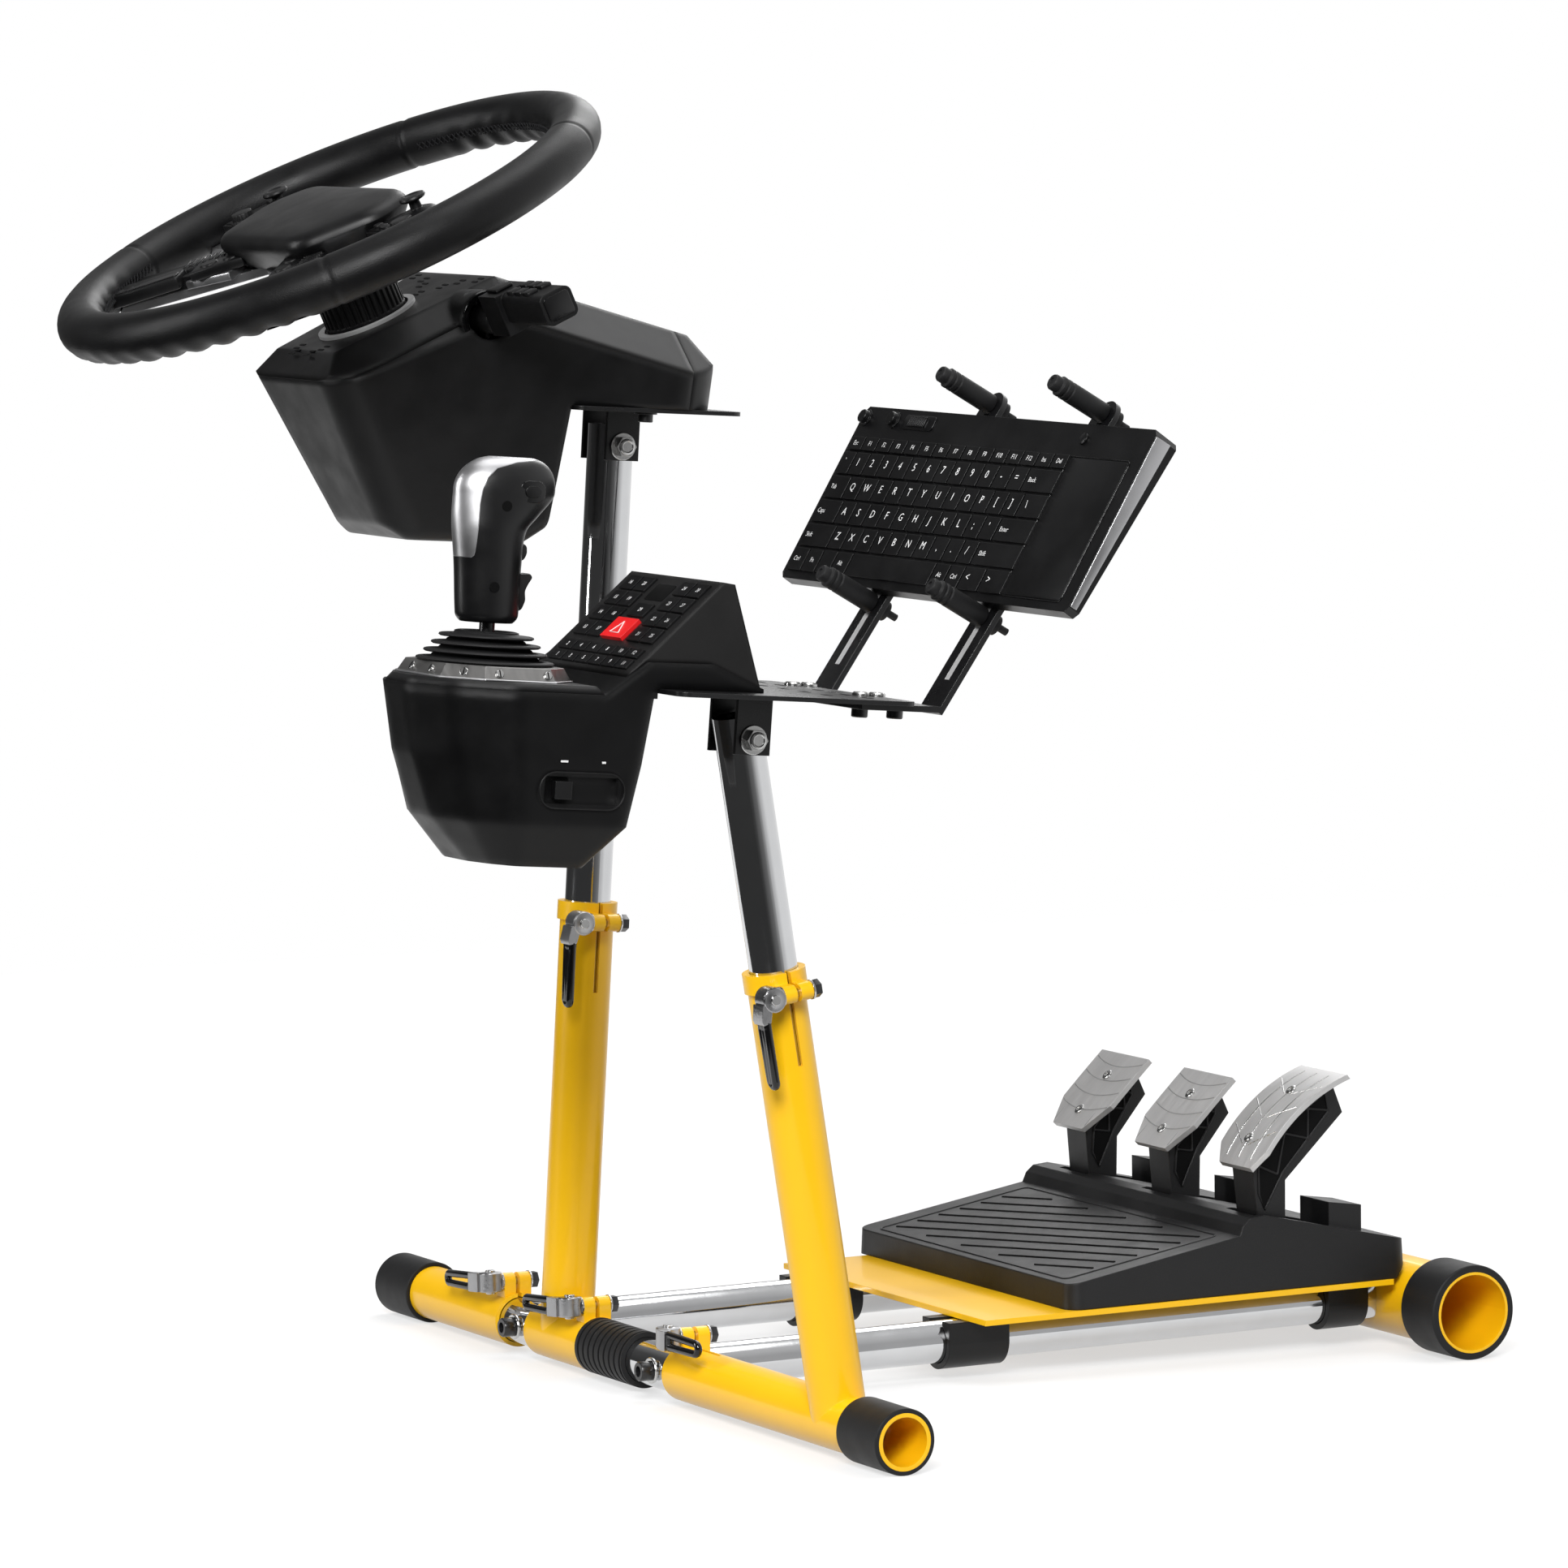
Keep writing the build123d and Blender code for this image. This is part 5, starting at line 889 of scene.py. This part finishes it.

# Pedals: lines and screws on the pads, painted shade of the pockets on the arms' sides, and ribs round and
# across them
PEDAL_SPACING = 0.119
PAD_LOW_Y, PAD_LOW_Z = 0.443, 0.0876
ARM_SIDE = 14.1
POCKET_SIDE, POCKET_HALF = 14.05, 0.15


def pad_grooves(form, length, width, lift, curved):
    """Long lines and slanted strokes on a curved pad, arcs and short lines on a flat one."""
    if curved:
        stops = [6 + (length - 12) * k / 16 for k in range(17)]
        for x in (-16, 0, 16):
            form.tube([(x, t, lift(t)) for t in stops], 0.55, steps=6)
        for start in (16, 40, 64):
            for s in (-1, 1):
                stroke = [(s * (4 + 23 * k / 6), start + 14 * k / 6) for k in range(7)]
                form.tube([(x, t, lift(t)) for x, t in stroke], 0.5, steps=6)
        return
    across = [k / 8 - 1 for k in range(17)]
    for start in (22, 36, 50, 64):
        arc = [(u * (width / 2 - 2), start - 6 * (1 - u ** 2), lift(start)) for u in across]
        form.tube(arc, 0.45, steps=6)
    for s in (-1, 1):
        x = s * (width / 2 - 12)
        form.tube([(x, 3, 0), (x, 18, 0)], 0.4, steps=6)


def pedal_details(name, x, length, angle, width, bow):
    """Details of one pedal. X of its frame is across the pad, Y along it and Z out of it."""
    place = PEDALS @ move(x, PAD_LOW_Y, PAD_LOW_Z) @ turn("X", angle)
    curved = bow > 0

    def lift(t):
        return 4 * (bow + 0.5) * t / length * (1 - t / length)

    form = Form(place)
    pad_grooves(form, length, width, lift, curved)
    # Lines on a flat pad are darker grey, painted shade of its grooves
    form.done(name + "_grooves", name, ZINC if curved else GROOVE_SHADE)
    form = Form(place)
    for t in (length * 0.22, length * 0.7):
        form.lathe([(0, 0.1), (4.2, 0.1), (4.2, 0.9), (3.2, 1.6), (1.8, 1.7), (1.6, 0.9), (0, 0.9)],
                   move(0, t, lift(t)), 24)
    form.done(name + "_screws", name, ZINC)

    low, high = -24.5, -9.5 + 0.6 * bow
    pocket = [(10, high - 1), (length / 2, high + bow * 0.3), (length - 16, high - 1), (length - 22, low + 7),
              (20, low), (-8, low - 10), (-4, low + 2)]
    zigzag = [(8, high - 2), (16, low + 2), (length * 0.40, high), (length * 0.52, low + 4),
              (length * 0.66, high), (length - 22, low + 8)]
    # Painted shade: dark sheets on the arms' sides where the pockets would be in shade
    form = Form(place)
    for s in (-1, 1):
        form.prism(pocket, s * POCKET_SIDE - POCKET_HALF, s * POCKET_SIDE + POCKET_HALF, at=SIDEWAYS)
    form.done(name + "_arm_pocket_shade", name, RECESS_SHADE)
    form = Form(place)
    for s in (-1, 1):
        for a, b in zip(zigzag, zigzag[1:]):
            form.tube([(s * ARM_SIDE, *a), (s * ARM_SIDE, *b)], 0.9)
        form.tube([(s * ARM_SIDE, *p) for p in pocket], 0.9, closed=True)
    form.done(name + "_arm_ribs", name, PEDAL_PLASTIC)


pedal_details("clutch", -PEDAL_SPACING, 70.0, 44.4, 68, 0.0)
pedal_details("brake", 0, 70.0, 44.4, 68, 0.0)
pedal_details("throttle", PEDAL_SPACING, 97.6, 39.7, 62, 9.0)


# Studio: pale floor, soft light, white background
FLOOR_SHADE = 0.36
FLOOR_GLOW = 0.62


def join(tree, operation, a, b):
    node = tree.nodes.new("ShaderNodeMath")
    node.operation = operation
    tree.links.new(a, node.inputs[0])
    tree.links.new(b, node.inputs[1])
    return node.outputs["Value"]


def seen_rays(tree):
    """1 for rays of the camera and for those mirrored in metal or seen through glass."""
    rays = tree.nodes.new("ShaderNodeLightPath").outputs
    mirrored = join(tree, "MAXIMUM", rays["Is Glossy Ray"], rays["Is Transmission Ray"])
    return join(tree, "MAXIMUM", rays["Is Camera Ray"], mirrored)


def make_floor(low, high):
    """A pale floor that is white where it is seen and keeps the shadow."""
    mesh = bpy.data.meshes.new("floor")
    corners = [(low[0], low[1], 0), (high[0], low[1], 0), (high[0], high[1], 0), (low[0], high[1], 0)]
    mesh.from_pydata(corners, [], [(0, 1, 2, 3)])
    floor = bpy.data.objects.new("floor", mesh)
    scene.collection.objects.link(floor)
    mat = bpy.data.materials.new("floor_white")
    mat.use_nodes = True
    tree = mat.node_tree
    bsdf = tree.nodes["Principled BSDF"]
    bsdf.inputs["Base Color"].default_value = (FLOOR_SHADE, FLOOR_SHADE, FLOOR_SHADE, 1)
    bsdf.inputs["Roughness"].default_value = 0.9
    bsdf.inputs["Specular IOR Level"].default_value = 0.0
    bsdf.inputs["Emission Color"].default_value = (1, 1, 1, 1)
    tree.links.new(map_range(tree, seen_rays(tree), to_high=FLOOR_GLOW), bsdf.inputs["Emission Strength"])
    mesh.materials.append(mat)
    floor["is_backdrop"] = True


def make_world():
    """Soft light from above and from the far side, and a white backdrop on that side."""
    world = bpy.data.worlds.new("studio")
    scene.world = world
    world.use_nodes = True
    tree = world.node_tree
    background = tree.nodes["Background"]
    background.inputs["Color"].default_value = (1, 1, 1, 1)
    coords = tree.nodes.new("ShaderNodeTexCoord")
    split = tree.nodes.new("ShaderNodeSeparateXYZ")
    tree.links.new(coords.outputs["Generated"], split.inputs["Vector"])
    height = map_range(tree, split.outputs["Z"], low=-1.0)
    sky = color_ramp(tree, height, 0.5, (0.30, 0.30, 0.30), 0.95, (0.85, 0.85, 0.85))
    far_side = map_range(tree, split.outputs["Y"], -0.3, 0.6, 0.15, 1.0)
    light = join(tree, "MULTIPLY", sky, far_side)
    backdrop = map_range(tree, split.outputs["Y"], 0.1, 0.8)
    mirrored = join(tree, "MULTIPLY", seen_rays(tree), backdrop)
    camera_ray = tree.nodes.new("ShaderNodeLightPath").outputs["Is Camera Ray"]
    white = join(tree, "MAXIMUM", mirrored, camera_ray)
    tree.links.new(join(tree, "MAXIMUM", light, white), background.inputs["Strength"])


def area(name, at, to, size, watts):
    light = bpy.data.lights.new(name, "AREA")
    light.shape = "RECTANGLE"
    light.size, light.size_y = size
    light.energy = watts
    lamp = bpy.data.objects.new(name, light)
    scene.collection.objects.link(lamp)
    lamp.location = at
    lamp.rotation_euler = (Vector(to) - Vector(at)).to_track_quat("-Z", "Y").to_euler()


make_floor((-2.6, -0.8), (0.95, 2.6))
make_world()
area("key", (3.6, -2.4, 2.9), (0, 0, 0.4), (1.8, 1.8), 270)
area("left", (-1.2, -3.4, 1.5), (0, 0, 0.5), (0.5, 2.2), 60)
area("top", (0.0, 0.6, 4.2), (0, 0, 0.4), (2.6, 2.6), 60)
area("back", (-2.6, 2.2, 2.6), (0, 0, 0.4), (1.8, 2.0), 50)

# Camera at the photograph's place
PHOTO_WIDTH = 1932
FOCAL_PIXELS = 9840.91
AZIMUTH, ELEVATION, ROLL = radians(62.10), radians(5.09), radians(0.25)
CAMERA = Vector((4.9934 + MAST_X, -2.4724 + FRONT_Y, 0.9085))
back = Vector((sin(AZIMUTH) * cos(ELEVATION), -cos(AZIMUTH) * cos(ELEVATION), sin(ELEVATION)))
right = Vector((cos(AZIMUTH), sin(AZIMUTH), 0))
up = back.cross(right)
right, up = right * cos(ROLL) + up * sin(ROLL), up * cos(ROLL) - right * sin(ROLL)
camera = bpy.data.cameras.new("camera")
camera.sensor_width = 36.0
camera.lens = FOCAL_PIXELS / PHOTO_WIDTH * camera.sensor_width
camera.clip_end = 100.0
eye = bpy.data.objects.new("camera", camera)
scene.collection.objects.link(eye)
eye.matrix_world = Matrix((
    (right.x, up.x, back.x, CAMERA.x),
    (right.y, up.y, back.y, CAMERA.y),
    (right.z, up.z, back.z, CAMERA.z),
    (0, 0, 0, 1)))
scene.camera = eye
scene.view_settings.view_transform = "Standard"

low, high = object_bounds()
